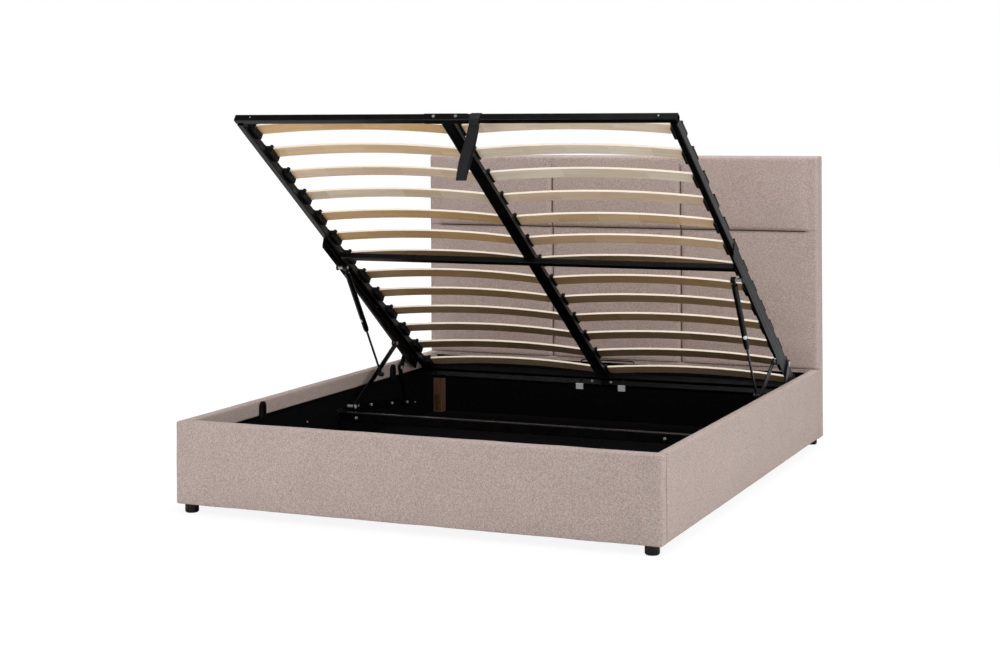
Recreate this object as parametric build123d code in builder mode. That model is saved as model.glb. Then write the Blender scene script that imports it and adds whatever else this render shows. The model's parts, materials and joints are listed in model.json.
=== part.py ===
"""Upholstered bed frame with a lifting slatted platform over a storage box.

The origin lies on the floor under the middle of the bed, +Y points to the headboard, +Z up.
Everything is drawn with the platform raised, which is the rest position of the lift.
"""
from build123d import *
import os
from math import atan2, cos, degrees, hypot, radians, sin

os.makedirs("parts", exist_ok=True)

# Overall sizes of the bed
bed_width = 1730
bed_length = 2120
headboard_height = 1172
side_height = 311
floor_gap = 30
side_thickness = 33
footboard_thickness = 50
headboard_thickness = 82.5
headboard_frame_depth = 41
cover_thickness = 4
cover_rounding = 9
band_height = 56
lining_thickness = 1.5
seam_gap = 0.3
cut_overrun = 5

# Platform, measured along its own slope from the foot tube: run along it, rise square to it
deck_foot_gap = 6.8
deck_head_gap = 71.7
deck_drop = 36.2
open_tilt = 34.7
tube_width = 25
tube_wall = 1.5
tube_rounding = 3
side_tube_height = 30
beam_width = 48
beam_height = 20
mid_tube_height = 22
plate_thickness = 3

# Lift linkage, its pins measured from the head end of the platform
link_thickness = 4
link_width = 24
link_inset = 12
link_swing_angle = 27.42
rivet_head = 1.5
rear_link_gap = 3
rear_plate_gap = 1
pin_radius = 5
pin_clearance = 0.05
spacer_radius = 6
head_radius = 8
head_thickness = 3
link_pin_from_head = 341.8
link_pin_drop = 73.9
rear_pin_from_head = 206.1
rear_pin_drop = 12.1
strut_pin_from_head = 942
strut_pin_drop = 61
front_pivot_from_head = 772.8
front_pivot_drop = 85
rear_pivot_from_head = 306.8
rear_pivot_rise = 10.2
arm_depth = 74

# Places that follow from the overall sizes
half_width = bed_width / 2
foot_face = -bed_length / 2
head_face = bed_length / 2
inner_face = half_width - side_thickness
core_face = inner_face + cover_thickness
lining_face = core_face - lining_thickness
core_outer = half_width - cover_thickness
foot_inner = foot_face + footboard_thickness
head_front = head_face - headboard_thickness
panel_front = head_face - cover_thickness - headboard_frame_depth
band_bottom = side_height - band_height
core_bottom = floor_gap + cover_thickness
core_top = side_height - cover_thickness

plate_face = lining_face - plate_thickness
rear_plate_face = plate_face - plate_thickness
rear_link_outer = rear_plate_face - rear_plate_gap - rivet_head
rear_link_inner = rear_link_outer - link_thickness
arm_face = rear_link_inner - rear_link_gap
tube_outer = arm_face - plate_thickness
tube_inner = tube_outer - tube_width
link_outer = tube_outer - link_inset
link_inner = link_outer - link_thickness
closed_y = foot_inner + deck_foot_gap
closed_z = side_height - deck_drop
deck_length = head_front - deck_head_gap - closed_y

# Side view of the linkage, first closed and then open
link_pin_run = deck_length - link_pin_from_head
rear_pin_run = deck_length - rear_pin_from_head
strut_pin_run = deck_length - strut_pin_from_head
front_pivot_y = closed_y + deck_length - front_pivot_from_head
front_pivot_z = closed_z - front_pivot_drop
rear_pivot_y = closed_y + deck_length - rear_pivot_from_head
rear_pivot_z = closed_z + rear_pivot_rise
closed_link_y = closed_y + link_pin_run - front_pivot_y
closed_link_z = closed_z - link_pin_drop - front_pivot_z
link_length = hypot(closed_link_y, closed_link_z)
open_link_angle = degrees(atan2(closed_link_z, closed_link_y)) + link_swing_angle
slope = cos(radians(open_tilt))
fall = sin(radians(open_tilt))
link_along_y = cos(radians(open_link_angle))
link_along_z = sin(radians(open_link_angle))
link_top_y = front_pivot_y + link_length * link_along_y
link_top_z = front_pivot_z + link_length * link_along_z
deck_y = link_top_y - link_pin_run * slope + link_pin_drop * fall
deck_z = link_top_z + link_pin_run * fall + link_pin_drop * slope

across = Vector(1, 0, 0)
deck_along = Vector(0, slope, -fall)
deck_up = Vector(0, fall, slope)


def deck_point(x, run, rise):
    """Point on the raised platform."""
    return Vector(x, deck_y, deck_z) + deck_along * run + deck_up * rise


def side_plane(x):
    """Upright plane along the bed, local x towards the head and local y up."""
    return Plane.YZ.offset(x)


def front_plane(y):
    """Upright plane across the bed, facing its foot end."""
    return Plane.XZ.offset(-y)


def deck_side(x):
    """Plane along the platform, local x down its slope and local y square to it."""
    return Plane(origin=deck_point(x, 0, 0), x_dir=deck_along, z_dir=across)


def deck_across(run):
    """Plane across the platform, facing its foot end, local x across and local y up."""
    return Plane(origin=deck_point(0, run, 0), x_dir=across, z_dir=-deck_along)


def block(x_low, x_high, y_low, y_high, z_low, z_high, mode=Mode.ADD):
    """Upright block between two corners."""
    with Locations(((x_low + x_high) / 2, (y_low + y_high) / 2, (z_low + z_high) / 2)):
        Box(x_high - x_low, y_high - y_low, z_high - z_low, mode=mode)


def deck_block(x_low, x_high, run_low, run_high, rise_low, rise_high, mode=Mode.ADD):
    """Block between two corners in the platform's own directions."""
    middle = deck_point((x_low + x_high) / 2, (run_low + run_high) / 2, (rise_low + rise_high) / 2)
    with Locations(Plane(origin=middle, x_dir=across, z_dir=deck_up).location):
        Box(x_high - x_low, run_high - run_low, rise_high - rise_low, mode=mode)


def pin(x_low, x_high, y, z, radius, mode=Mode.ADD):
    """Round pin across the bed between two places."""
    with Locations(Location(((x_low + x_high) / 2, y, z), (0, 90, 0))):
        Cylinder(radius, x_high - x_low, mode=mode)


def deck_pin(x_low, x_high, run, rise, radius, mode=Mode.ADD):
    """Round pin across the bed at a place on the platform."""
    place = deck_point(0, run, rise)
    pin(x_low, x_high, place.Y, place.Z, radius, mode)


def hex_head(x_low, x_high, y, z, radius):
    """Hexagonal head or nut across the bed between two places."""
    with BuildPart() as head:
        with BuildSketch(side_plane(x_low)):
            with Locations((y, z)):
                RegularPolygon(radius, 6)
        extrude(amount=x_high - x_low)
    return head.part


def deck_hex(x_low, x_high, run, rise, radius):
    """Hexagonal head or nut across the bed at a place on the platform."""
    place = deck_point(0, run, rise)
    return hex_head(x_low, x_high, place.Y, place.Z, radius)


def deck_stud(x, run, rise, radius, length):
    """Round head on a face of the platform that looks to the foot end."""
    facing = Plane(origin=deck_point(x, run - length / 2, rise), x_dir=across, z_dir=-deck_along)
    with Locations(facing.location):
        Cylinder(radius, length)


def finish(name, piece):
    """Name a piece and write it."""
    piece.part.label = name
    export_step(piece.part, f"parts/{name}.step")
    print(name, len(piece.part.solids()), "solids")


def finish_pair(name, right):
    """Write the right-hand piece and its mirror image on the left."""
    with BuildPart() as left:
        mirror(right.part, about=Plane.YZ)
    finish(name + "_right", right)
    finish(name + "_left", left)


# Headboard: wooden frame with its deeper lower part, then the fabric round its back and sides
with BuildPart() as headboard_frame:
    block(-core_outer, core_outer, panel_front, head_face - cover_thickness, core_bottom,
          headboard_height - cover_thickness)
    fillet(headboard_frame.edges().filter_by(Axis.Y).group_by(Axis.Z)[-1], cover_rounding)
    block(-core_outer, core_outer, head_front, panel_front, core_bottom, core_top)
finish("headboard_frame", headboard_frame)

with BuildPart() as headboard_cover:
    block(-half_width, half_width, panel_front, head_face, floor_gap, headboard_height)
    fillet(headboard_cover.edges().filter_by(Axis.Y).group_by(Axis.Z)[-1],
           cover_rounding + cover_thickness)
    fillet(headboard_cover.faces().sort_by(Axis.Y)[-1].edges(), cover_thickness / 2)
    block(-half_width, half_width, head_front, panel_front, floor_gap, side_height)
    add(headboard_frame.part, mode=Mode.SUBTRACT)
finish("headboard_cover", headboard_cover)

# Padded front of the headboard: the upper row of fields stands prouder than the lower one
row_seam_z = 867
field_seam_x = 286.5
upper_row_proud = 6
pad_rounding = 13
channel_half_width = 24
channel_depth = 13
channel_margin = 34
channel_taper = 36
channel_end_share = 0.08
bulge_across_share = 0.57
bulge_depth_share = 0.27
pad_bottom = side_height + seam_gap
upper_front = head_front - upper_row_proud


def channel_section(plane, share):
    """Section of a sewn channel at a share of its size: two rounded flanks meet in a crease."""
    half, depth = channel_half_width * share, channel_depth * share
    mouth = -upper_row_proud - cut_overrun
    with BuildSketch(plane) as section:
        with BuildLine():
            Polyline((-half, 0), (-half, mouth), (half, mouth), (half, 0))
            ThreePointArc((half, 0), (half - half * bulge_across_share, depth * bulge_depth_share),
                          (0, depth))
            ThreePointArc((0, depth), (half * bulge_across_share - half, depth * bulge_depth_share),
                          (-half, 0))
        make_face()
    return section.sketch


def channel(plane, length, start_tapers):
    """Channel along the normal of a plane, fading out at its far end and maybe at its near one."""
    full = channel_section(plane.offset(channel_taper if start_tapers else 0), 1)
    straight = length - channel_taper * (2 if start_tapers else 1)
    far = plane.offset(length - channel_taper)
    with BuildPart() as tool:
        extrude(full, amount=straight)
        loft([channel_section(far, 1), channel_section(far.offset(channel_taper), channel_end_share)])
        if start_tapers:
            near = plane.offset(channel_taper)
            loft([channel_section(plane, channel_end_share), channel_section(near, 1)])
    return tool.part


with BuildPart() as upper_row:
    block(-half_width, half_width, upper_front, panel_front, row_seam_z, headboard_height)
    fillet(upper_row.edges().filter_by(Axis.Z).group_by(Axis.Y)[0], pad_rounding)
    fillet(upper_row.edges().filter_by(GeomType.LINE).filter_by(Axis.X).group_by(Axis.Y)[0]
           .sort_by(Axis.Z)[-1], pad_rounding)

with BuildPart() as headboard_cushion:
    block(-half_width, half_width, head_front, panel_front, pad_bottom, row_seam_z)
    fillet(headboard_cushion.edges().filter_by(Axis.Z).group_by(Axis.Y)[0], pad_rounding)
    add(upper_row.part)
    for field_x in (-field_seam_x, field_seam_x):
        lower_line = Plane(origin=(field_x, head_front, pad_bottom - cut_overrun), x_dir=across)
        add(channel(lower_line, row_seam_z + channel_taper - pad_bottom, False), mode=Mode.SUBTRACT)
        upper_line = Plane(origin=(field_x, upper_front, row_seam_z), x_dir=across)
        add(channel(upper_line, headboard_height - channel_margin - row_seam_z, False),
            mode=Mode.SUBTRACT)
    row_line = Plane(origin=(channel_margin - half_width, head_front, row_seam_z), x_dir=(0, 0, -1),
                     z_dir=across)
    add(channel(row_line, bed_width - channel_margin - channel_margin, True), mode=Mode.SUBTRACT)
finish("headboard_cushion", headboard_cushion)

# Side rails: wooden board and the fabric folded over it down to the band on the inner side
with BuildPart() as side_rail:
    block(core_face, core_outer, foot_inner + seam_gap, head_front - seam_gap, core_bottom, core_top)
finish_pair("side_rail", side_rail)

with BuildPart() as side_cover:
    with BuildSketch(front_plane(foot_inner + seam_gap)) as rail_section:
        with Locations(((inner_face + half_width) / 2, (floor_gap + side_height) / 2)):
            Rectangle(side_thickness, side_height - floor_gap)
        fillet(rail_section.vertices().group_by(Axis.Z)[-1], cover_rounding)
        with Locations(((core_face + core_outer) / 2, (core_bottom + core_top) / 2)):
            Rectangle(core_outer - core_face, core_top - core_bottom, mode=Mode.SUBTRACT)
        with Locations(((inner_face + core_face) / 2, (floor_gap + band_bottom) / 2)):
            Rectangle(cover_thickness, band_bottom - floor_gap, mode=Mode.SUBTRACT)
    extrude(amount=foot_inner - head_front + seam_gap + seam_gap)
finish_pair("side_cover", side_cover)

# Footboard: wooden panel in its fabric, open on the inner side below the band
with BuildPart() as footboard:
    block(-core_outer, core_outer, foot_face + cover_thickness, foot_inner - cover_thickness,
          core_bottom, core_top)
finish("footboard", footboard)

with BuildPart() as footboard_cover:
    block(-half_width, half_width, foot_face, foot_inner, floor_gap, side_height)
    fillet(footboard_cover.faces().sort_by(Axis.Y)[0].edges(), cover_rounding)
    add(footboard.part, mode=Mode.SUBTRACT)
    block(-inner_face, inner_face, foot_inner - cover_thickness, foot_inner + cut_overrun,
          floor_gap - cut_overrun, band_bottom, mode=Mode.SUBTRACT)
finish("footboard_cover", footboard_cover)

# Black linings inside the storage box
cleat_height = 15
cleat_width = 20
floor_panel_thickness = 5
panel_bottom = floor_gap + cleat_height
panel_top = panel_bottom + floor_panel_thickness
head_lining_drop = 15
head_lining_face = head_front - lining_thickness
with BuildPart() as inner_linings:
    block(lining_face, core_face, foot_inner + seam_gap, head_lining_face - seam_gap,
          core_bottom, band_bottom - seam_gap)
    mirror(about=Plane.YZ)
    block(seam_gap - inner_face, inner_face - seam_gap, foot_inner - cover_thickness,
          foot_inner - cover_thickness + lining_thickness, core_bottom, band_bottom - seam_gap)
    block(seam_gap - inner_face, inner_face - seam_gap, head_lining_face, head_front,
          core_bottom, side_height - head_lining_drop)
finish("inner_linings", inner_linings)

# Floor of the box: panels on cleats along the rails and on a bearer down the middle
floor_panel_count = 3
floor_panel_joint = 1
bearer_width = 40
bearer_height = 20
floor_start = foot_inner + seam_gap
floor_end = head_lining_face - seam_gap
with BuildPart() as floor_bearers:
    block(lining_face - cleat_width, lining_face, floor_start, floor_end, floor_gap, panel_bottom)
    mirror(about=Plane.YZ)
    block(-bearer_width / 2, bearer_width / 2, floor_start, floor_end,
          panel_bottom - bearer_height, panel_bottom)
finish("floor_bearers", floor_bearers)

panel_pitch = (floor_end - floor_start + floor_panel_joint) / floor_panel_count
with BuildPart() as floor_panels:
    for number in range(floor_panel_count):
        panel_start = floor_start + number * panel_pitch
        block(seam_gap - lining_face, lining_face - seam_gap, panel_start,
              panel_start + panel_pitch - floor_panel_joint, panel_bottom, panel_top)
finish("floor_panels", floor_panels)

# Feet: four under the corners and three lower ones under the bearer
foot_radius = 23.5
foot_bevel = 4
bearer_foot_radius = 19
corner_foot_inset = 43
corner_foot_from_foot = 35
corner_foot_from_head = 33
bearer_foot_shares = (0.2, 0.5, 0.8)
with BuildPart() as feet:
    corner_x = half_width - corner_foot_inset
    for foot_x in (-corner_x, corner_x):
        for foot_y in (foot_face + corner_foot_from_foot, head_face - corner_foot_from_head):
            with Locations((foot_x, foot_y, floor_gap / 2)):
                Cylinder(foot_radius, floor_gap)
    chamfer(feet.edges().filter_by(GeomType.CIRCLE).group_by(Axis.Z)[0], foot_bevel)
    bearer_foot_height = panel_bottom - bearer_height
    for share in bearer_foot_shares:
        with Locations((0, floor_start + (floor_end - floor_start) * share, bearer_foot_height / 2)):
            Cylinder(bearer_foot_radius, bearer_foot_height)
finish("feet", feet)

# Timber posts in the corners of the box; the front pair carries the closed platform
post_width = 40
rear_post_gap = 60
rest_gap = 0.5
with BuildPart() as corner_posts:
    block(inner_face - post_width, inner_face - seam_gap, floor_end - post_width, floor_end,
          panel_top, side_height - rear_post_gap)
    block(inner_face - post_width, inner_face - seam_gap, floor_start, floor_start + post_width,
          panel_top, closed_z - side_tube_height - rest_gap)
    mirror(about=Plane.YZ)
finish("corner_posts", corner_posts)

bracket_width = 20
bracket_height = 64
bracket_thickness = 2
bracket_lift = 12
bracket_screw_radius = 4
bracket_screw_head = 2
bracket_screw_inset = 14
with BuildPart() as corner_brackets:
    bracket_x = inner_face - post_width / 2
    bracket_face = floor_end - post_width - bracket_thickness
    block(bracket_x - bracket_width / 2, bracket_x + bracket_width / 2, bracket_face,
          bracket_face + bracket_thickness, panel_top + bracket_lift,
          panel_top + bracket_lift + bracket_height)
    for screw_z in (bracket_screw_inset, bracket_height - bracket_screw_inset):
        with Locations(Location((bracket_x, bracket_face - bracket_screw_head / 2,
                                 panel_top + bracket_lift + screw_z), (90, 0, 0))):
            Cylinder(bracket_screw_radius, bracket_screw_head)
    mirror(about=Plane.YZ)
finish("corner_brackets", corner_brackets)

# Tie bar from rail to rail with a plate at each end
tie_bar_from_head = 845.9
tie_bar_gap = 20.8
tie_bar_height = 38
tie_bar_depth = 25
tie_plate_height = 56
tie_plate_depth = 45
tie_bar_y = closed_y + deck_length - tie_bar_from_head
tie_bar_z = closed_z - arm_depth - tie_bar_gap - tie_bar_height / 2
with BuildPart() as tie_bar:
    with BuildSketch(side_plane(-plate_face)):
        with Locations((tie_bar_y, tie_bar_z)):
            RectangleRounded(tie_bar_depth, tie_bar_height, tube_rounding)
            Rectangle(tie_bar_depth - tube_wall - tube_wall, tie_bar_height - tube_wall - tube_wall,
                      mode=Mode.SUBTRACT)
    extrude(amount=plate_face + plate_face)
    for plate_x in (-lining_face, plate_face):
        block(plate_x, plate_x + plate_thickness, tie_bar_y - tie_plate_depth / 2,
              tie_bar_y + tie_plate_depth / 2, tie_bar_z - tie_plate_height / 2,
              tie_bar_z + tie_plate_height / 2)
finish("tie_bar", tie_bar)

# Base bar of the lift on the rail, with a strip that rises to the pivot of the rear link
base_bar_width = 32
base_bar_end_from_head = 241.8
base_bar_fall = 60
rear_strip_width = 30
base_bar_end_y = closed_y + deck_length - base_bar_end_from_head
base_bar_end_z = front_pivot_z - base_bar_fall
base_bar_run = base_bar_end_y - front_pivot_y
rear_strip_rise = rear_pivot_z - base_bar_end_z
rear_strip_run = rear_pivot_y - base_bar_end_y


def base_bar_height(y):
    """Height of the sloping centre line of the base bar."""
    return front_pivot_z - base_bar_fall * (y - front_pivot_y) / base_bar_run


with BuildPart() as base_bar:
    with BuildSketch(side_plane(plate_face)):
        with Locations(((front_pivot_y + base_bar_end_y) / 2, (front_pivot_z + base_bar_end_z) / 2)):
            SlotCenterToCenter(hypot(base_bar_run, base_bar_fall), base_bar_width,
                               rotation=-degrees(atan2(base_bar_fall, base_bar_run)))
    extrude(amount=plate_thickness)
    with BuildSketch(side_plane(rear_plate_face)):
        with Locations(((base_bar_end_y + rear_pivot_y) / 2, (base_bar_end_z + rear_pivot_z) / 2)):
            SlotCenterToCenter(hypot(rear_strip_run, rear_strip_rise), rear_strip_width,
                               rotation=degrees(atan2(rear_strip_rise, rear_strip_run)))
    extrude(amount=plate_thickness)
finish_pair("base_bar", base_bar)

# Fixed pins of the links and the bolts of the base bars
fixing_bolt_radius = 6
fixing_bolt_head = 4
fixing_shares = (0.16, 0.38, 0.74)
band_bolt_from_head = 374
band_bolt_drop = 27
screw_radius = 5.5
screw_head = 3
tie_screw_inset = 82
tie_inner_screw_x = 516
front_screw_from_foot = 865
front_screw_height = 178
rear_screw_from_head = 305
rear_screw_height = 116
rail_screw_radius = 3.5
with BuildPart() as base_bolts:
    pin(link_inner, plate_face, front_pivot_y, front_pivot_z, pin_radius)
    pin(link_outer + seam_gap, plate_face, front_pivot_y, front_pivot_z, spacer_radius)
    add(hex_head(link_inner - head_thickness, link_inner - seam_gap, front_pivot_y, front_pivot_z,
                 head_radius))
    pin(rear_link_inner - rivet_head, rear_plate_face, rear_pivot_y, rear_pivot_z, pin_radius)
    add(hex_head(rear_link_inner - rivet_head, rear_link_inner - pin_clearance, rear_pivot_y,
                 rear_pivot_z, head_radius))
    for share in fixing_shares:
        bolt_y = front_pivot_y + base_bar_run * share
        add(hex_head(plate_face - fixing_bolt_head, plate_face, bolt_y, base_bar_height(bolt_y),
                     fixing_bolt_radius))
    add(hex_head(rear_plate_face - fixing_bolt_head, rear_plate_face, base_bar_end_y, base_bar_end_z,
                 fixing_bolt_radius))
    add(hex_head(inner_face - rivet_head, inner_face, head_face - band_bolt_from_head,
                 side_height - band_bolt_drop, fixing_bolt_radius))
    for screw_y, screw_z in ((foot_face + front_screw_from_foot, front_screw_height),
                             (head_face - rear_screw_from_head, rear_screw_height)):
        add(hex_head(lining_face - rivet_head, lining_face, screw_y, screw_z, rail_screw_radius))
    mirror(about=Plane.YZ)
    for screw_x in (tie_screw_inset - inner_face, tie_inner_screw_x, inner_face - tie_screw_inset):
        with Locations(Location((screw_x, tie_bar_y - (tie_bar_depth + screw_head) / 2, tie_bar_z),
                                (90, 0, 0))):
            Cylinder(screw_radius, screw_head)
finish("base_bolts", base_bolts)

# Arched guides on the inner faces of the rails
guide_width = 41
guide_height = 62
guide_thickness = 8
guide_slot_width = 17
guide_lip = 3
guide_top_gap = 5
front_guide_from_foot = 520
rear_guide_from_head = 448
with BuildPart() as rail_guides:
    guide_top = side_height - guide_top_gap
    for guide_y in (foot_face + front_guide_from_foot, head_front - rear_guide_from_head):
        with BuildSketch(side_plane(inner_face - guide_thickness)):
            with Locations((guide_y, guide_top - guide_width / 2)):
                Circle(guide_width / 2)
            with Locations((guide_y, guide_top - guide_width / 2 - (guide_height - guide_width / 2) / 2)):
                Rectangle(guide_width, guide_height - guide_width / 2)
        extrude(amount=guide_thickness)
        with BuildSketch(side_plane(inner_face - guide_thickness)):
            with Locations((guide_y, guide_top - guide_width / 2)):
                Circle(guide_slot_width / 2)
            with Locations((guide_y, guide_top - guide_width / 2 - guide_height / 2)):
                Rectangle(guide_slot_width, guide_height)
        extrude(amount=guide_thickness - guide_lip, mode=Mode.SUBTRACT)
    mirror(about=Plane.YZ)
finish("rail_guides", rail_guides)

# Platform frame of steel tubes
sleeve_wall = 1.5
sleeve_half = 80
tube_joint_gap = 1
with BuildPart() as foot_tube:
    with BuildSketch(deck_side(tube_joint_gap / 2)):
        with Locations((tube_width / 2, -tube_width / 2)):
            RectangleRounded(tube_width, tube_width, tube_rounding)
            Rectangle(tube_width - tube_wall - tube_wall, tube_width - tube_wall - tube_wall,
                      mode=Mode.SUBTRACT)
    extrude(amount=arm_face - tube_joint_gap / 2)
finish_pair("foot_tube", foot_tube)

with BuildPart() as tube_sleeve:
    with BuildSketch(deck_side(-sleeve_half)):
        with Locations((tube_width / 2, -tube_width / 2)):
            sleeve_outer = tube_width + pin_clearance + pin_clearance + sleeve_wall + sleeve_wall
            RectangleRounded(sleeve_outer, sleeve_outer, tube_rounding + sleeve_wall)
            RectangleRounded(tube_width + pin_clearance + pin_clearance,
                             tube_width + pin_clearance + pin_clearance, tube_rounding,
                             mode=Mode.SUBTRACT)
    extrude(amount=sleeve_half + sleeve_half)
finish("tube_sleeve", tube_sleeve)

with BuildPart() as side_tube:
    with BuildSketch(deck_across(tube_width)):
        with Locations(((tube_inner + tube_outer) / 2, -side_tube_height / 2)):
            RectangleRounded(tube_width, side_tube_height, tube_rounding)
            Rectangle(tube_width - tube_wall - tube_wall, side_tube_height - tube_wall - tube_wall,
                      mode=Mode.SUBTRACT)
    extrude(amount=tube_width - deck_length)
finish_pair("side_tube", side_tube)

mid_tube_from_head = 976.5
with BuildPart() as cross_tubes:
    for tube_run, tube_rise, tube_height in (
            (deck_length - mid_tube_from_head, -beam_height - mid_tube_height / 2, mid_tube_height),
            (deck_length - tube_width / 2, -tube_width / 2, tube_width)):
        with BuildSketch(deck_side(-tube_inner)):
            with Locations((tube_run, tube_rise)):
                RectangleRounded(tube_width, tube_height, tube_rounding)
                Rectangle(tube_width - tube_wall - tube_wall, tube_height - tube_wall - tube_wall,
                          mode=Mode.SUBTRACT)
        extrude(amount=tube_inner + tube_inner)
finish("cross_tubes", cross_tubes)

beam_start = tube_width + pin_clearance + sleeve_wall
with BuildPart() as centre_beam:
    with BuildSketch(deck_across(beam_start)):
        with Locations((0, -beam_height / 2)):
            RectangleRounded(beam_width, beam_height, tube_rounding)
            Rectangle(beam_width - tube_wall - tube_wall, beam_height - tube_wall - tube_wall,
                      mode=Mode.SUBTRACT)
    extrude(amount=beam_start + tube_width - deck_length)
finish("centre_beam", centre_beam)

rear_tube_inset = 14
rear_tube_overhang = 9.5
rear_tube_gap = 2.3
rear_tube_plate_width = 30
rear_tube_hole_radius = 4
rear_tube_hole_inset = 20
rear_tube_run = deck_length + rear_tube_overhang - tube_width / 2
rear_tube_rise = -tube_width - rear_tube_gap - tube_width / 2
rear_tube_end = tube_inner - rear_tube_inset
with BuildPart() as rear_tube:
    with BuildSketch(deck_side(tube_joint_gap / 2)):
        with Locations((rear_tube_run, rear_tube_rise)):
            RectangleRounded(tube_width, tube_width, tube_rounding)
            Rectangle(tube_width - tube_wall - tube_wall, tube_width - tube_wall - tube_wall,
                      mode=Mode.SUBTRACT)
    extrude(amount=rear_tube_end - tube_joint_gap / 2)
    for plate_start in (tube_joint_gap / 2, rear_tube_end - rear_tube_plate_width):
        deck_block(plate_start, plate_start + rear_tube_plate_width, rear_tube_run - tube_width / 2
                   + tube_rounding, deck_length - tube_rounding, -tube_width - rear_tube_gap, -tube_width)
    hole_x = rear_tube_end - rear_tube_hole_inset
    hole_place = deck_point(hole_x, rear_tube_run - tube_width / 2, rear_tube_rise)
    with Locations(Plane(origin=hole_place, x_dir=across, z_dir=-deck_along).location):
        Cylinder(rear_tube_hole_radius, tube_width, mode=Mode.SUBTRACT)
finish_pair("rear_tube", rear_tube)

# Slats: 13 rows of two bowed slats, each end held in a cap that clips onto its tube
cap_height = 14.5
cap_half_run = 31
cap_overhang = 16
cap_hang = 14
cap_edge_gap = 1
cap_pocket_depth = 14
cap_pocket_floor = 3
cap_pocket_height = 10.2
cap_play = 0.3
cap_end_play = 2
cap_nose = 3
cap_lug_length = 7
cap_lug_width = 9
centre_cap_web = 26
centre_cap_overhang = 5
slat_rows = 13
slat_width = 53
slat_thickness = 8
slat_bow = 21
first_slat_run = 104.9
last_slat_from_head = 34.1
cap_inner = tube_inner - cap_overhang
cap_outer = tube_outer - cap_edge_gap
centre_cap_half = beam_width / 2 + centre_cap_overhang
slat_start = centre_cap_web / 2 + cap_end_play
slat_end = cap_inner + cap_pocket_depth - cap_end_play
slat_low = cap_pocket_floor + cap_play
slat_pitch = (deck_length - first_slat_run - last_slat_from_head) / (slat_rows - 1)
slat_runs = [first_slat_run + row * slat_pitch for row in range(slat_rows)]


def cap_lug(x_low, run):
    """Small lug on the side of a cap that looks to the foot end."""
    deck_block(x_low, x_low + cap_lug_width, run - cap_half_run - cap_lug_length, run - cap_half_run,
               cap_pocket_floor, cap_height)


for row, run in enumerate(slat_runs):
    with BuildPart() as slat_row:
        with BuildSketch(deck_across(run - slat_width / 2)):
            middle = (slat_start + slat_end) / 2
            slat_high = slat_low + slat_thickness
            with BuildLine():
                ThreePointArc((slat_start, slat_low), (middle, slat_low + slat_bow), (slat_end, slat_low))
                Line((slat_end, slat_low), (slat_end, slat_high))
                ThreePointArc((slat_end, slat_high), (middle, slat_high + slat_bow),
                              (slat_start, slat_high))
                Line((slat_start, slat_high), (slat_start, slat_low))
            make_face()
        extrude(amount=-slat_width)
        mirror(about=Plane.YZ)
    finish(f"slat_row_{row + 1:02d}", slat_row)

with BuildPart() as slat_caps:
    for run in slat_runs:
        deck_block(cap_inner, cap_outer, run - cap_half_run, run + cap_half_run, 0, cap_height)
    outer_faces = slat_caps.faces().sort_by(Axis.X)[-slat_rows:]
    chamfer([face.edges().sort_by(Axis((0, 0, 0), deck_up))[-1] for face in outer_faces], cap_nose)
    for run in slat_runs:
        deck_block(cap_inner, tube_inner, run - cap_half_run,
                   min(run + cap_half_run, deck_length - tube_width - seam_gap), -cap_hang, 0)
        cap_lug(cap_inner, run)
        cap_lug(cap_outer - cap_lug_width, run)
        deck_block(cap_inner - cut_overrun, cap_inner + cap_pocket_depth,
                   run - slat_width / 2 - cap_play, run + slat_width / 2 + cap_play,
                   cap_pocket_floor, cap_pocket_floor + cap_pocket_height, mode=Mode.SUBTRACT)
finish_pair("slat_caps", slat_caps)

with BuildPart() as slat_caps_centre:
    for run in slat_runs:
        deck_block(-centre_cap_half, centre_cap_half, run - cap_half_run, run + cap_half_run,
                   0, cap_height)
        cap_lug(-centre_cap_half, run)
        cap_lug(centre_cap_half - cap_lug_width, run)
        for low, high in ((-centre_cap_half - cut_overrun, -centre_cap_web / 2),
                          (centre_cap_web / 2, centre_cap_half + cut_overrun)):
            deck_block(low, high, run - slat_width / 2 - cap_play, run + slat_width / 2 + cap_play,
                       cap_pocket_floor, cap_pocket_floor + cap_pocket_height, mode=Mode.SUBTRACT)
finish("slat_caps_centre", slat_caps_centre)

# Lift arm: plate on the outer face of the side tube with ears for the pins, folded in at its lower edge
arm_front_from_head = 1112
arm_rear_from_head = 89
arm_bend_from_head = 869
arm_heel_from_head = 199
arm_top_drop = 3
arm_front_drop = 60
arm_rear_drop = 62
arm_front_lean = 18
arm_rounding = 8
arm_ear_radius = 12
arm_flange_depth = 7
arm_flange_gap = 22
arm_front = deck_length - arm_front_from_head
arm_rear = deck_length - arm_rear_from_head
arm_bend = deck_length - arm_bend_from_head
arm_heel = deck_length - arm_heel_from_head
flange_end = link_pin_run - arm_flange_gap
flange_fall = (arm_depth - arm_front_drop) * (flange_end - arm_bend) / (arm_heel - arm_bend)
with BuildPart() as lift_arm:
    with BuildSketch(deck_side(tube_outer)) as arm_outline:
        with BuildLine():
            Polyline((arm_front, -arm_top_drop), (arm_rear, -arm_top_drop), (arm_rear, -arm_rear_drop),
                     (arm_heel, -arm_depth), (arm_bend, -arm_front_drop),
                     (arm_front + arm_front_lean, -arm_front_drop), close=True)
        make_face()
        fillet(arm_outline.vertices(), arm_rounding)
        with Locations((strut_pin_run, -strut_pin_drop), (link_pin_run, -link_pin_drop)):
            Circle(arm_ear_radius)
    extrude(amount=plate_thickness)
    with BuildSketch(deck_side(tube_outer)):
        with BuildLine():
            Polyline((arm_bend, -arm_front_drop), (flange_end, -arm_front_drop - flange_fall),
                     (flange_end, plate_thickness - arm_front_drop - flange_fall),
                     (arm_bend, plate_thickness - arm_front_drop), close=True)
        make_face()
    extrude(amount=-arm_flange_depth)
finish_pair("lift_arm", lift_arm)

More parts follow.
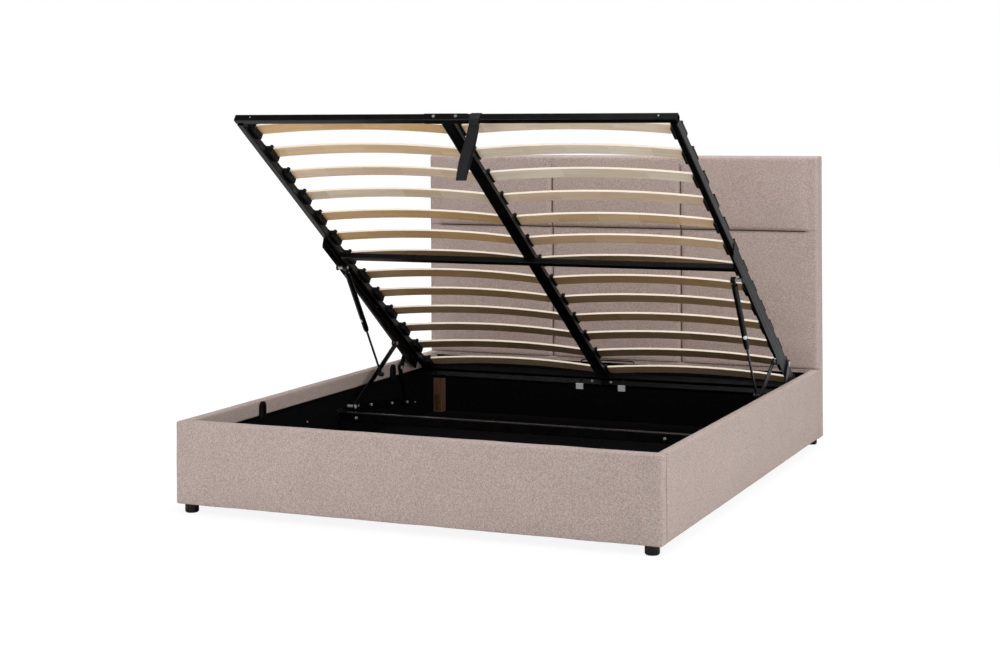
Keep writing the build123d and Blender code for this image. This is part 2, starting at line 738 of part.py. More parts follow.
# Front link: pressed strip with a groove, a nut for the strut bolt on its outer side
strut_foot_run = 223.2
strut_foot_drop = 5.4
strut_inset = 17
strut_eye_width = 16
strut_bolt_radius = 4
link_groove_depth = 1.2
link_groove_width = 10
link_groove_inset = 26
nut_height = 3.5
nut_radius = 7
bolt_tip_gap = 0.8
strut_foot_y = front_pivot_y + strut_foot_run * link_along_y + strut_foot_drop * link_along_z
strut_foot_z = front_pivot_z + strut_foot_run * link_along_z - strut_foot_drop * link_along_y
link_middle = ((front_pivot_y + link_top_y) / 2, (front_pivot_z + link_top_z) / 2)
with BuildPart() as front_link:
    with BuildSketch(side_plane(link_inner)):
        with Locations(link_middle):
            SlotCenterToCenter(link_length, link_width, rotation=open_link_angle)
    extrude(amount=link_thickness)
    with BuildSketch(side_plane(link_outer - link_groove_depth)):
        with Locations(link_middle):
            SlotCenterToCenter(link_length - link_groove_inset - link_groove_inset,
                               link_groove_width, rotation=open_link_angle)
    extrude(amount=link_groove_depth, mode=Mode.SUBTRACT)
    add(hex_head(link_inner, link_outer + nut_height, strut_foot_y, strut_foot_z, nut_radius))
    pin(link_inner, link_outer + nut_height, strut_foot_y, strut_foot_z,
        strut_bolt_radius + pin_clearance, mode=Mode.SUBTRACT)
    for pivot_y, pivot_z in ((front_pivot_y, front_pivot_z), (link_top_y, link_top_z)):
        pin(link_inner, link_outer, pivot_y, pivot_z, pin_radius + pin_clearance, mode=Mode.SUBTRACT)
finish_pair("front_link", front_link)

# Rear link: short strip; the wide hole at its upper pin is the opened pivot of the linkage
rear_link_width = 32
rear_pin_radius = 4
rear_pin_clearance = 3.6
rear_top = deck_point(0, rear_pin_run, -rear_pin_drop)
rear_link_length = hypot(rear_top.Y - rear_pivot_y, rear_top.Z - rear_pivot_z)
rear_link_angle = degrees(atan2(rear_top.Z - rear_pivot_z, rear_top.Y - rear_pivot_y))
with BuildPart() as rear_link:
    with BuildSketch(side_plane(rear_link_inner)):
        with Locations(((rear_pivot_y + rear_top.Y) / 2, (rear_pivot_z + rear_top.Z) / 2)):
            SlotCenterToCenter(rear_link_length, rear_link_width, rotation=rear_link_angle)
    extrude(amount=link_thickness)
    pin(rear_link_inner, rear_link_outer, rear_pivot_y, rear_pivot_z, pin_radius + pin_clearance,
        mode=Mode.SUBTRACT)
    pin(rear_link_inner, rear_link_outer, rear_top.Y, rear_top.Z, rear_pin_radius + rear_pin_clearance,
        mode=Mode.SUBTRACT)
finish_pair("rear_link", rear_link)

# Pins, bolts and screws that move with the platform
washer_radius = 10.5
strut_head_radius = 6.5
sleeve_bolt_x = 41
end_screw_inset = 63
end_screw_radius = 3
end_screw_head = 1.5
tube_screw_from_head = 571
tube_screw_inset = 8
strut_x = link_inner - strut_inset
strut_eye_low = strut_x - strut_eye_width / 2
strut_eye_high = strut_x + strut_eye_width / 2
with BuildPart() as platform_bolts:
    deck_pin(link_inner, tube_outer, link_pin_run, -link_pin_drop, pin_radius)
    deck_pin(link_outer + seam_gap, tube_outer, link_pin_run, -link_pin_drop, spacer_radius)
    add(deck_hex(link_inner - head_thickness, link_inner - seam_gap, link_pin_run, -link_pin_drop,
                 head_radius))
    deck_pin(strut_eye_low, tube_outer, strut_pin_run, -strut_pin_drop, strut_bolt_radius)
    deck_pin(strut_eye_high + seam_gap, tube_outer, strut_pin_run, -strut_pin_drop, strut_head_radius)
    add(deck_hex(strut_eye_low - head_thickness, strut_eye_low - seam_gap, strut_pin_run,
                 -strut_pin_drop, strut_head_radius))
    deck_pin(arm_face, rear_link_outer, rear_pin_run, -rear_pin_drop, rear_pin_radius)
    deck_pin(rear_link_outer + pin_clearance, rear_link_outer + rivet_head, rear_pin_run,
             -rear_pin_drop, washer_radius)
    screw_place = deck_point(tube_outer - tube_screw_inset, deck_length - tube_screw_from_head,
                             -side_tube_height - end_screw_head / 2)
    with Locations(Plane(origin=screw_place, x_dir=across, z_dir=deck_up).location):
        Cylinder(end_screw_radius, end_screw_head)
    deck_stud(sleeve_bolt_x, -sleeve_wall - pin_clearance, -tube_width / 2, screw_radius, screw_head)
    deck_stud(arm_face - end_screw_inset, 0, -tube_width / 2, end_screw_radius, end_screw_head)
    deck_stud(sleeve_bolt_x, rear_tube_run - tube_width / 2, rear_tube_rise, screw_radius, screw_head)
    mirror(about=Plane.YZ)
finish("platform_bolts", platform_bolts)

# Gas struts: cylinder hung from the lift arm, rod bolted to the front link
strut_top = deck_point(strut_x, strut_pin_run, -strut_pin_drop)
strut_foot = Vector(strut_x, strut_foot_y, strut_foot_z)
strut_span = (strut_foot - strut_top).length
strut_plane = Plane(origin=strut_top, x_dir=strut_foot - strut_top, z_dir=across)
cylinder_length = 320
cylinder_radius = 11
cylinder_wall = 2
cylinder_neck_radius = 6
cylinder_neck = 12
cylinder_shoulder = 24
cylinder_cap = 34
cylinder_gland = 12
cylinder_end_radius = 9
rod_radius = 4.5
rod_clearance = 0.1
rod_engaged = 50
piston_length = 12
piston_clearance = 0.15
with BuildPart() as strut_cylinder:
    with BuildSketch(strut_plane):
        bore = cylinder_radius - cylinder_wall
        with BuildLine():
            Polyline((cylinder_neck / 2, 0), (cylinder_neck / 2, cylinder_neck_radius),
                     (cylinder_shoulder - cylinder_wall, cylinder_neck_radius),
                     (cylinder_shoulder, cylinder_radius),
                     (cylinder_length - cylinder_gland, cylinder_radius),
                     (cylinder_length, cylinder_end_radius),
                     (cylinder_length, rod_radius + rod_clearance),
                     (cylinder_length - cylinder_gland, rod_radius + rod_clearance),
                     (cylinder_length - cylinder_gland, bore), (cylinder_cap, bore),
                     (cylinder_cap, 0), close=True)
        make_face()
    revolve(axis=Axis(strut_plane.origin, strut_plane.x_dir))
    pin(strut_eye_low, strut_eye_high, strut_top.Y, strut_top.Z, cylinder_radius)
    pin(strut_eye_low, strut_eye_high, strut_top.Y, strut_top.Z, strut_bolt_radius + pin_clearance,
        mode=Mode.SUBTRACT)
finish_pair("strut_cylinder", strut_cylinder)

with BuildPart() as strut_rod:
    with BuildSketch(strut_plane):
        piston_start = cylinder_length - rod_engaged
        piston_radius = bore - piston_clearance
        with BuildLine():
            Polyline((piston_start, 0), (piston_start, piston_radius),
                     (piston_start + piston_length, piston_radius),
                     (piston_start + piston_length, rod_radius), (strut_span, rod_radius),
                     (strut_span, 0), close=True)
        make_face()
    revolve(axis=Axis(strut_plane.origin, strut_plane.x_dir))
    pin(strut_eye_low, strut_eye_high, strut_foot_y, strut_foot_z, cylinder_end_radius)
    pin(strut_eye_low - head_thickness, link_inner - bolt_tip_gap, strut_foot_y, strut_foot_z,
        strut_bolt_radius)
    add(hex_head(strut_eye_low - head_thickness, strut_eye_low, strut_foot_y, strut_foot_z,
                 strut_head_radius))
finish_pair("strut_rod", strut_rod)

# Pull strap: a doubled webbing loop hung from the foot tube, leaning a little
strap_width = 36
strap_layer = 2
strap_slit = 3
strap_top_x = 120
strap_lean = 62
strap_drop = 206
strap_wrap = 2
strap_end_rounding = 10
with BuildPart() as pull_strap:
    with BuildSketch(deck_side(strap_top_x - strap_width / 2)):
        with Locations((tube_width / 2, -tube_width / 2)):
            wrap_inner = tube_width + seam_gap + seam_gap
            RectangleRounded(wrap_inner + strap_wrap + strap_wrap,
                             wrap_inner + strap_wrap + strap_wrap, tube_rounding + strap_wrap)
            RectangleRounded(wrap_inner, wrap_inner, tube_rounding, mode=Mode.SUBTRACT)
    extrude(amount=strap_width)
    strap_centre = deck_point(0, tube_width / 2, -tube_width / 2)
    strap_half = strap_slit / 2 + strap_layer
    strap_y = strap_centre.Y + tube_width * (slope - fall) / 2
    strap_from = strap_centre.Z - tube_width * (slope + fall) / 2 - seam_gap
    strap_low = strap_centre.Z - strap_drop
    for thickness, end_lift, mode in ((strap_half, 0, Mode.ADD),
                                      (strap_slit / 2, strap_layer, Mode.SUBTRACT)):
        with BuildSketch(front_plane(strap_y + thickness)):
            top_inset = 0 if mode == Mode.ADD else strap_end_rounding
            with BuildLine():
                Polyline((strap_top_x - strap_width / 2, strap_from - top_inset),
                         (strap_top_x + strap_width / 2, strap_from - top_inset),
                         (strap_top_x - strap_lean + strap_width / 2, strap_low + end_lift),
                         (strap_top_x - strap_lean - strap_width / 2, strap_low + end_lift), close=True)
            make_face()
        extrude(amount=thickness + thickness, mode=mode)
finish("pull_strap", pull_strap)

# Mattress bar: bent wire behind the head tube
wire_radius = 3
wire_bend = 14
wire_leg_x = 118
wire_leg_low = 18
wire_leg_high = 69
wire_sides = 12
with BuildPart() as mattress_bar:
    with BuildLine(deck_across(deck_length + wire_radius)):
        FilletPolyline((wire_leg_x, -wire_leg_low), (wire_leg_x, wire_leg_high),
                       (-wire_leg_x, wire_leg_high), (-wire_leg_x, -wire_leg_low), radius=wire_bend)
    start = deck_point(wire_leg_x, deck_length + wire_radius, -wire_leg_low)
    with BuildSketch(Plane(origin=start, x_dir=across, z_dir=deck_up)):
        RegularPolygon(wire_radius, wire_sides)
    sweep()
finish("mattress_bar", mattress_bar)

# Black ties round the rear tube with white clips in front of them
tie_x = 92
tie_width = 12
tie_thickness = 1.6
tie_tail = 7
clip_width = 30
clip_depth = 11
clip_height = 23
clip_lift = 2
clip_rounding = 2
tie_inner = tube_width + seam_gap
tie_outer = tie_inner + tie_thickness + tie_thickness
tie_corner = deck_point(0, rear_tube_run - tie_outer / 2, rear_tube_rise - tie_outer / 2)
tail_face = tie_corner.Y - seam_gap
with BuildPart() as anchor_ties:
    with BuildSketch(deck_side(tie_x - tie_width / 2)):
        with Locations((rear_tube_run, rear_tube_rise)):
            Rectangle(tie_outer, tie_outer)
            Rectangle(tie_inner, tie_inner, mode=Mode.SUBTRACT)
    extrude(amount=tie_width)
    block(tie_x - tie_width / 2, tie_x + tie_width / 2, tail_face, tail_face + tie_thickness,
          tie_corner.Z - tie_tail, tie_corner.Z)
    mirror(about=Plane.YZ)
finish("anchor_ties", anchor_ties)

with BuildPart() as anchor_clips:
    block(tie_x - clip_width / 2, tie_x + clip_width / 2, tail_face - clip_depth, tail_face,
          tie_corner.Z + clip_lift - clip_height, tie_corner.Z + clip_lift)
    fillet(anchor_clips.edges().filter_by(Axis.Z), clip_rounding)
    mirror(about=Plane.YZ)
finish("anchor_clips", anchor_clips)
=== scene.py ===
"""Dressed model of an upholstered bed frame whose slatted platform lifts off a storage box.

Lengths are metres in the frame of the CAD model: the origin lies on the floor under the middle of
the bed, +Y points to the headboard and +Z up. The platform is shown raised.
"""
import json
import logging
import math
from abc import ABC, abstractmethod
from collections.abc import Iterable, Mapping, Sequence
from dataclasses import dataclass
from enum import Enum
from typing import Any

import bpy
import numpy as np
from mathutils import Matrix, Vector


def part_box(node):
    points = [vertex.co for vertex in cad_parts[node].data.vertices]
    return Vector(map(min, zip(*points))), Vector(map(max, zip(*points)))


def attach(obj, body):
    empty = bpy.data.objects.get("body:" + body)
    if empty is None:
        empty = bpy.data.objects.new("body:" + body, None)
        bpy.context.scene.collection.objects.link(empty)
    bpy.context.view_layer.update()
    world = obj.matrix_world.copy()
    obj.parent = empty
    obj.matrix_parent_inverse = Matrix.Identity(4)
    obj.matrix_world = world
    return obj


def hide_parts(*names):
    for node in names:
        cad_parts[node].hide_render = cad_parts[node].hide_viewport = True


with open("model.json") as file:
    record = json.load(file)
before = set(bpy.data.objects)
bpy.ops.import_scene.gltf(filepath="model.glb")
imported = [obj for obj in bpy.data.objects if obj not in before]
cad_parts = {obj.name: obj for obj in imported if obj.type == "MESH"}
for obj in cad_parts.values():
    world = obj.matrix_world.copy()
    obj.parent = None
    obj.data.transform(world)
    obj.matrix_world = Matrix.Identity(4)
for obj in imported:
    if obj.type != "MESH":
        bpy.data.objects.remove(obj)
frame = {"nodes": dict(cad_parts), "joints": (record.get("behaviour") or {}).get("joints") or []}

LOG = logging.getLogger("bed")
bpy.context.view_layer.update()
Pair = tuple[float, float]
Triple = tuple[float, float, float]
Corners = tuple[Triple, Triple]
Array = np.ndarray
AXES: tuple[Triple, ...] = ((1.0, 0.0, 0.0), (0.0, 1.0, 0.0), (0.0, 0.0, 1.0))
X, Y, Z = AXES


def corners(node: str) -> Corners:
    """Lowest and highest corner of a CAD node at rest, to a thousandth of a millimetre."""
    low, high = (tuple(round(value, 6) for value in corner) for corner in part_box(node))
    return low, high


def joint(name: str) -> Mapping[str, Any]:
    """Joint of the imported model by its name."""
    return next(row for row in frame["joints"] if row["name"] == name)


# Sizes of the bed that several pieces share
_, HEAD_FRONT, FLOOR_GAP = corners("headboard_cover")[0]
HALF_WIDTH, HEAD_FACE, HEAD_TOP = corners("headboard_cover")[1]
PANEL_FRONT = corners("headboard_cushion")[1][1]
_, FOOT_INNER, SIDE_HEIGHT = corners("footboard_cover")[1]
RAIL_INNER = corners("side_cover_right")[0][0]
BAND_HEIGHT = 0.056
BAND_BOTTOM = SIDE_HEIGHT - BAND_HEIGHT
SEAM_GAP = 0.0003

# Frame of the raised platform, with its origin at the upper outer corner of the square foot tube
TUBE = 0.025
DECK_TILT = math.radians(34.7)
DECK_ALONG: Triple = (0.0, math.cos(DECK_TILT), -math.sin(DECK_TILT))
DECK_UP: Triple = (0.0, math.sin(DECK_TILT), math.cos(DECK_TILT))
TUBE_MIDDLE: Array = np.mean(corners("foot_tube_right"), axis=0) * (0, 1, 1)
DECK_ORIGIN: Triple = tuple(TUBE_MIDDLE + (np.array(DECK_UP) - DECK_ALONG) * TUBE / 2)


class Side(Enum):
    """Side of the bed, seen from the foot end."""

    LEFT = -1
    RIGHT = 1

    @property
    def word(self) -> str:
        """Word for the side in the names of nodes and pieces."""
        return self.name.lower()


class Slot(Enum):
    """Material slots of the record, named here; no piece of the scene uses them."""

    UPHOLSTERY = "upholstery"
    LINING = "lining"
    WEBBING = "webbing"
    WHITE = "white_plastic"


class Tone(Enum):
    """Tones that birch strips come in."""

    PALE = (0.96, 0.85, 0.71)
    CREAM = (0.93, 0.775, 0.61)
    ROSE = (0.92, 0.72, 0.55)
    HONEY = (0.88, 0.64, 0.41)
    TAN = (0.80, 0.52, 0.26)
    AMBER = (0.56, 0.36, 0.185)
    UMBER = (0.50, 0.335, 0.205)


class Value:
    """Output socket of a shader tree that takes part in Python expressions."""

    def __init__(self, shade: "Shade", socket: bpy.types.NodeSocket) -> None:
        """Wraps a socket of a tree."""
        self.shade = shade
        self.socket = socket

    def _math(self, operation: str, left: Any, right: Any = 0.0) -> "Value":
        """Adds one Math node on two values."""
        return self.shade.node("ShaderNodeMath", {0: left, 1: right}, operation=operation)

    def __add__(self, other: Any) -> "Value":
        """Sum with a value or number."""
        return self._math("ADD", self, other)

    def __sub__(self, other: Any) -> "Value":
        """Difference with a value or number."""
        return self._math("SUBTRACT", self, other)

    def __mul__(self, other: Any) -> "Value":
        """Product with a value or number."""
        return self._math("MULTIPLY", self, other)

    def __radd__(self, other: Any) -> "Value":
        """Sum with a number on the left."""
        return self._math("ADD", other, self)

    def __rsub__(self, other: Any) -> "Value":
        """Difference with a number on the left."""
        return self._math("SUBTRACT", other, self)

    def __rmul__(self, other: Any) -> "Value":
        """Product with a number on the left."""
        return self._math("MULTIPLY", other, self)

    def __abs__(self) -> "Value":
        """Size without its sign."""
        return self._math("ABSOLUTE", self)

    def __gt__(self, other: Any) -> "Value":
        """1 where the value is greater, otherwise 0."""
        return self._math("GREATER_THAN", self, other)

    def sine(self) -> "Value":
        """Sine of the value in radians."""
        return self._math("SINE", self)

    def floor(self) -> "Value":
        """Whole number below the value."""
        return self._math("FLOOR", self)

    def most(self, other: Any) -> "Value":
        """Greater of two values."""
        return self._math("MAXIMUM", self, other)

    def step(self, low: float, high: float) -> "Value":
        """Smooth rise from 0 at low to 1 at high."""
        inputs = {0: self, 1: low, 2: high, 3: 0.0, 4: 1.0}
        return self.shade.node("ShaderNodeMapRange", inputs, interpolation_type="SMOOTHSTEP")


class Shade:
    """Node tree of a material or world, written as expressions."""

    def __init__(self, name: str, world: bool = False) -> None:
        """Makes an empty tree.

        Args:
            name: Name of its material or world.
            world: Whether it belongs to a world.
        """
        self.owner = (bpy.data.worlds if world else bpy.data.materials).new(name)
        self.owner.use_nodes = True
        self.tree = self.owner.node_tree
        self.tree.nodes.clear()

    def node(
        self, kind: str, inputs: Mapping[int | str, Any] | None = None, output: int | str = 0, **settings: Any
    ) -> Value:
        """Adds a node.

        Args:
            kind: Type name of the node.
            inputs: Values or links of its sockets.
            output: Socket that is returned.
            **settings: Properties of the node, set first.

        Returns:
            The chosen output.
        """
        made = self.tree.nodes.new(kind)
        for key, value in settings.items():
            setattr(made, key, value)
        for key, value in (inputs or {}).items():
            if isinstance(value, Value):
                self.tree.links.new(value.socket, made.inputs[key])
            else:
                made.inputs[key].default_value = value
        return Value(self, made.outputs[output])

    def place(self, kind: str = "Object") -> Value:
        """Texture coordinates of the surface."""
        return self.node("ShaderNodeTexCoord", output=kind)

    def along(self, place: Value, direction: Triple, origin: Triple = (0.0, 0.0, 0.0)) -> Value:
        """Distance of a place from an origin along a direction."""
        moved = self.node("ShaderNodeVectorMath", {0: place, 1: origin}, operation="SUBTRACT")
        return self.node("ShaderNodeVectorMath", {0: moved, 1: direction}, "Value", operation="DOT_PRODUCT")

    def joined(self, x: Any, y: Any, z: Any) -> Value:
        """Vector from three values."""
        return self.node("ShaderNodeCombineXYZ", {0: x, 1: y, 2: z})

    def noise(self, place: Value, grains: Triple, detail: float = 2.0, rough: float = 0.5) -> Value:
        """Smooth noise from 0 to 1, with its grains per metre along each axis."""
        scaled = self.node("ShaderNodeVectorMath", {0: place, 1: grains}, operation="MULTIPLY")
        inputs = {"Vector": scaled, "Scale": 1.0, "Detail": detail, "Roughness": rough}
        return self.node("ShaderNodeTexNoise", inputs)

    def lattice(self, place: Value, turns: float) -> Value:
        """Grid of raised points on a face of any direction, the sum of three products of two sines.

        Args:
            place: Coordinates of the surface.
            turns: Radians per metre.

        Returns:
            Height of the grid.
        """
        x, y, z = ((self.along(place, axis) * turns).sine() for axis in AXES)
        return x * y + y * z + x * z

    def mix(self, factor: Any, first: Any, second: Any) -> Value:
        """Colour between two colours."""
        colours = [c if isinstance(c, Value) else (*c, 1.0) for c in (first, second)]
        return self.node("ShaderNodeMix", {0: factor, 6: colours[0], 7: colours[1]}, 2, data_type="RGBA")

    def surface(self, varying: Mapping[str, Value], fixed: Mapping[str, Any], relief: Value,
                depth: float, strength: float, rounding: float = 0.0) -> bpy.types.Material:
        """Ends the tree with one shader.

        Args:
            varying: Values of the sockets that change over the surface.
            fixed: Numbers and colours of the other sockets.
            relief: Height of a fine bump, from 0 to 1.
            depth: Height in metres of that bump.
            strength: Share of the bump that shows.
            rounding: Radius in metres at which sharp edges catch the light.

        Returns:
            The finished material.
        """
        bump: dict[int | str, Any] = {"Strength": strength, "Distance": depth, "Height": relief}
        if rounding:
            bump["Normal"] = self.node("ShaderNodeBevel", {"Radius": rounding}, samples=6)
        inputs = {**fixed, **varying, "Normal": self.node("ShaderNodeBump", bump)}
        return self.ended(self.node("ShaderNodeBsdfPrincipled", inputs))

    def ended(self, shader: Value, kind: str = "ShaderNodeOutputMaterial") -> Any:
        """Links a shader to the output of the tree.

        Args:
            shader: The last shader.
            kind: Type name of the output node.

        Returns:
            The material or world.
        """
        out = self.tree.nodes.new(kind)
        self.tree.links.new(shader.socket, out.inputs["Surface"])
        return self.owner


class Finish(ABC):
    """Finish of a piece or a node."""

    @abstractmethod
    def material(self) -> bpy.types.Material:
        """Makes the material."""

    def dress(self, *nodes: str) -> None:
        """Gives CAD nodes one material of this finish.

        Args:
            *nodes: Names of the nodes.
        """
        material = self.material()
        for name in nodes:
            slots = frame["nodes"][name].data.materials
            slots.clear()
            slots.append(material)


@dataclass(frozen=True)
class Weave(Finish):
    """Melange upholstery cloth: pale and dark yarns crossed in a fine plain weave."""

    name: str = "upholstery cloth"
    pale: Triple = (0.590, 0.482, 0.444)
    dark: Triple = (0.335, 0.260, 0.237)
    # groove: colour of the painted shadow at the bottom of the sewn channels
    groove: Triple = (0.055, 0.036, 0.030)
    level_flecks: Triple = (150.0, 150.0, 430.0)
    upright_flecks: Triple = (430.0, 430.0, 160.0)
    nap: Triple = (240.0, 240.0, 250.0)
    fleck_edge: Pair = (0.38, 0.62)
    clouds: Triple = (7.0, 7.0, 7.0)
    slubs: Triple = (34.0, 34.0, 420.0)
    slub_edge: Pair = (0.63, 0.76)
    yarns: float = 620.0
    relief_depth: float = 0.0009
    roughness: float = 0.93
    sheen_tint: Triple = (0.9, 0.85, 0.82)
    seam_level: float = 0.0
    seam_uprights: float = 0.0
    seam_reach: float = 0.0
    seam_half: float = 0.0024
    seam_fade: float = 0.022
    seam_top: Pair = (1.10, 1.14)

    def seams(self, shade: Shade, place: Value) -> Value:
        """Shadow at the bottom of the sewn channels, running out before the outer edges.

        Args:
            shade: Tree of the cloth.
            place: Coordinates of the surface.

        Returns:
            1 in a channel and 0 beside it.
        """
        across = abs(shade.along(place, X))
        height = shade.along(place, Z)
        edge = (self.seam_half * 0.4, self.seam_half)
        level = 1.0 - abs(height - self.seam_level).step(*edge)
        upright = 1.0 - abs(across - self.seam_uprights).step(*edge)
        level = level * (1.0 - across.step(self.seam_reach - self.seam_fade, self.seam_reach))
        upright = upright * (1.0 - height.step(*self.seam_top))
        return level.most(upright * 0.8)

    def material(self) -> bpy.types.Material:
        """Cloth whose flecks are noise drawn out along both yarn directions.

        Returns:
            The cloth, with the shadow of the seams where it has them.
        """
        shade = Shade(self.name)
        place = shade.place()
        level = shade.noise(place, self.level_flecks, 3.0, 0.62)
        upright = shade.noise(place, self.upright_flecks, 3.0, 0.62)
        nap = shade.noise(place, self.nap, 1.0)
        cloud = shade.noise(place, self.clouds)
        slubs = shade.noise(place, self.slubs, 1.0).step(*self.slub_edge)
        fleck = (level * 0.38 + upright * 0.30 + nap * 0.32).step(*self.fleck_edge)
        colour = shade.mix(fleck * 0.86 + cloud * 0.2 - slubs * 0.14, self.dark, self.pale)
        if self.seam_level:
            # painted shadow along the seams
            colour = shade.mix(self.seams(shade, place), colour, self.groove)
        return shade.surface(
            {"Base Color": colour, "Roughness": fleck * -0.06 + self.roughness},
            {"Sheen Weight": 0.12, "Sheen Roughness": 0.5, "Sheen Tint": (*self.sheen_tint, 1.0),
             "Specular IOR Level": 0.2},
            shade.lattice(place, self.yarns * math.pi) * 0.25 + fleck * 0.5 + 0.25,
            self.relief_depth, strength=0.55,
        )


@dataclass(frozen=True)
class Fleece(Finish):
    """Black non-woven lining with pressed points."""

    name: str = "black lining"
    colour: Triple = (0.0013, 0.0013, 0.0018)
    fibre: Triple = (0.0052, 0.0052, 0.0068)
    fibres: Triple = (260.0, 260.0, 260.0)
    fibre_edge: Pair = (0.3, 0.75)
    point_turns: float = 1500.0
    point_edge: Pair = (0.4, 0.9)
    relief_depth: float = 0.0004

    def material(self) -> bpy.types.Material:
        """Fibre clouds under a grid of pressed points.

        Returns:
            The lining.
        """
        shade = Shade(self.name)
        place = shade.place()
        fibres = shade.noise(place, self.fibres, 4.0, 0.7)
        pressed = shade.lattice(place, self.point_turns).step(*self.point_edge)
        colour = shade.mix(fibres.step(*self.fibre_edge), self.colour, self.fibre)
        return shade.surface(
            {"Base Color": colour, "Roughness": fibres * 0.15 + 0.82},
            {"Specular IOR Level": 0.08}, fibres * 0.6 - pressed * 0.4 + 0.4, self.relief_depth, strength=0.4,
        )


@dataclass(frozen=True)
class PowderCoat(Finish):
    """Black powder coat on steel, with a fine orange-peel skin."""

    name: str = "black powder coat"
    colour: Triple = (0.0014, 0.0013, 0.0017)
    dust: Triple = (0.0042, 0.0042, 0.0052)
    clouds: Triple = (14.0, 14.0, 14.0)
    dust_edge: Pair = (0.42, 0.8)
    skin: Triple = (950.0, 950.0, 950.0)
    roughness: float = 0.30
    shine: float = 0.28
    rounding: float = 0.0018
    relief_depth: float = 0.0002
    strength: float = 0.2

    def pressed(self, shade: Shade, place: Value, colour: Value, skin: Value) -> tuple[Value, Value]:
        """Colour and relief with what is pressed into the plate: nothing in a plain one."""
        return colour, skin

    def material(self) -> bpy.types.Material:
        """Even coat with faint dusty clouds and a grainy skin.

        Returns:
            The coat.
        """
        shade = Shade(self.name)
        place = shade.place()
        cloud = shade.noise(place, self.clouds, 4.0, 0.6)
        skin = shade.noise(place, self.skin)
        colour = shade.mix(cloud.step(*self.dust_edge), self.colour, self.dust)
        colour, relief = self.pressed(shade, place, colour, skin)
        return shade.surface(
            {"Base Color": colour, "Roughness": cloud * 0.16 + self.roughness - 0.08},
            {"Specular IOR Level": self.shine}, relief, self.relief_depth, self.strength, self.rounding,
        )


@dataclass(frozen=True)
class BeadedCoat(PowderCoat):
    """Powder coat on the lift arms, with a bead pressed in along the platform, painted shade in the bead and
    a painted highlight along each side of it.
    """

    name: str = "beaded powder coat"
    shine: float = 0.09
    relief_depth: float = 0.0015
    strength: float = 0.9
    bead_drop: float = 0.028
    # Painted shade darkens the colour in the bead's hollow, and a painted highlight lightens a band along
    # each side of the bead.
    hollow: Triple = (0.0004, 0.0004, 0.0005)
    rubbed: Triple = (0.052, 0.047, 0.056)
    hollow_edge: Pair = (0.0022, 0.0038)
    rubbed_start: Pair = (0.0036, 0.0048)
    rubbed_end: Pair = (0.0062, 0.0078)

    def pressed(self, shade: Shade, place: Value, colour: Value, skin: Value) -> tuple[Value, Value]:
        """Bead at an even drop under the platform's plane, with painted shade in it and painted highlights
        beside it.

        Args:
            shade: Tree of the coat.
            place: Coordinates of the surface.
            colour: Colour of the plain coat.
            skin: Relief of the plain coat.

        Returns:
            Colour with the bead's painted shade and painted highlights, and relief with the bead.
        """
        distance = abs(shade.along(place, DECK_UP, DECK_ORIGIN) + self.bead_drop)
        # painted shade: the hollow darkens the colour as well as sinking the relief
        hollow = 1.0 - distance.step(*self.hollow_edge)
        # painted highlight: a lighter band along each side of the bead
        painted_highlight_band = distance.step(*self.rubbed_start) * (1.0 - distance.step(*self.rubbed_end))
        beside = shade.mix(painted_highlight_band, colour, self.rubbed)
        return shade.mix(hollow, beside, self.hollow), skin * 0.12 - hollow * 0.88 + 0.88


@dataclass(frozen=True)
class Moulding(Finish):
    """Moulded plastic with a spark-eroded grain."""

    name: str
    colour: Triple
    roughness: float
    grain: float = 700.0
    clouds: Triple = (22.0, 22.0, 22.0)
    relief_depth: float = 0.00015

    def material(self) -> bpy.types.Material:
        """Even colour with a soft cloud and a fine grain.

        Returns:
            The plastic.
        """
        shade = Shade(self.name)
        place = shade.place()
        cloud = shade.noise(place, self.clouds, 3.0)
        grain = shade.noise(place, (self.grain,) * 3, 1.0)
        lighter = tuple(min(1.0, c * 1.35 + 0.001) for c in self.colour)
        return shade.surface(
            {"Base Color": shade.mix(cloud, self.colour, lighter), "Roughness": cloud * 0.1 + self.roughness},
            {"Specular IOR Level": 0.22}, grain, self.relief_depth, strength=0.3,
        )


@dataclass(frozen=True)
class BareMetal(Finish):
    """Bare or plated metal with fine scratches."""

    name: str
    colour: Triple
    tarnish: Triple
    roughness: float
    metallic: float = 1.0
    clouds: Triple = (60.0, 60.0, 60.0)
    tarnish_edge: Pair = (0.35, 0.8)
    hairs: Triple = (90.0, 1400.0, 1400.0)
    relief_depth: float = 0.0001

    def material(self) -> bpy.types.Material:
        """Metal with tarnished clouds and hair scratches.

        Returns:
            The metal.
        """
        shade = Shade(self.name)
        place = shade.place()
        cloud = shade.noise(place, self.clouds, 4.0, 0.65)
        hair = shade.noise(place, self.hairs)
        colour = shade.mix(cloud.step(*self.tarnish_edge), self.colour, self.tarnish)
        return shade.surface(
            {"Base Color": colour, "Roughness": cloud * 0.2 + hair * 0.1 + self.roughness - 0.1},
            {"Metallic": self.metallic}, hair, self.relief_depth, strength=0.2,
        )


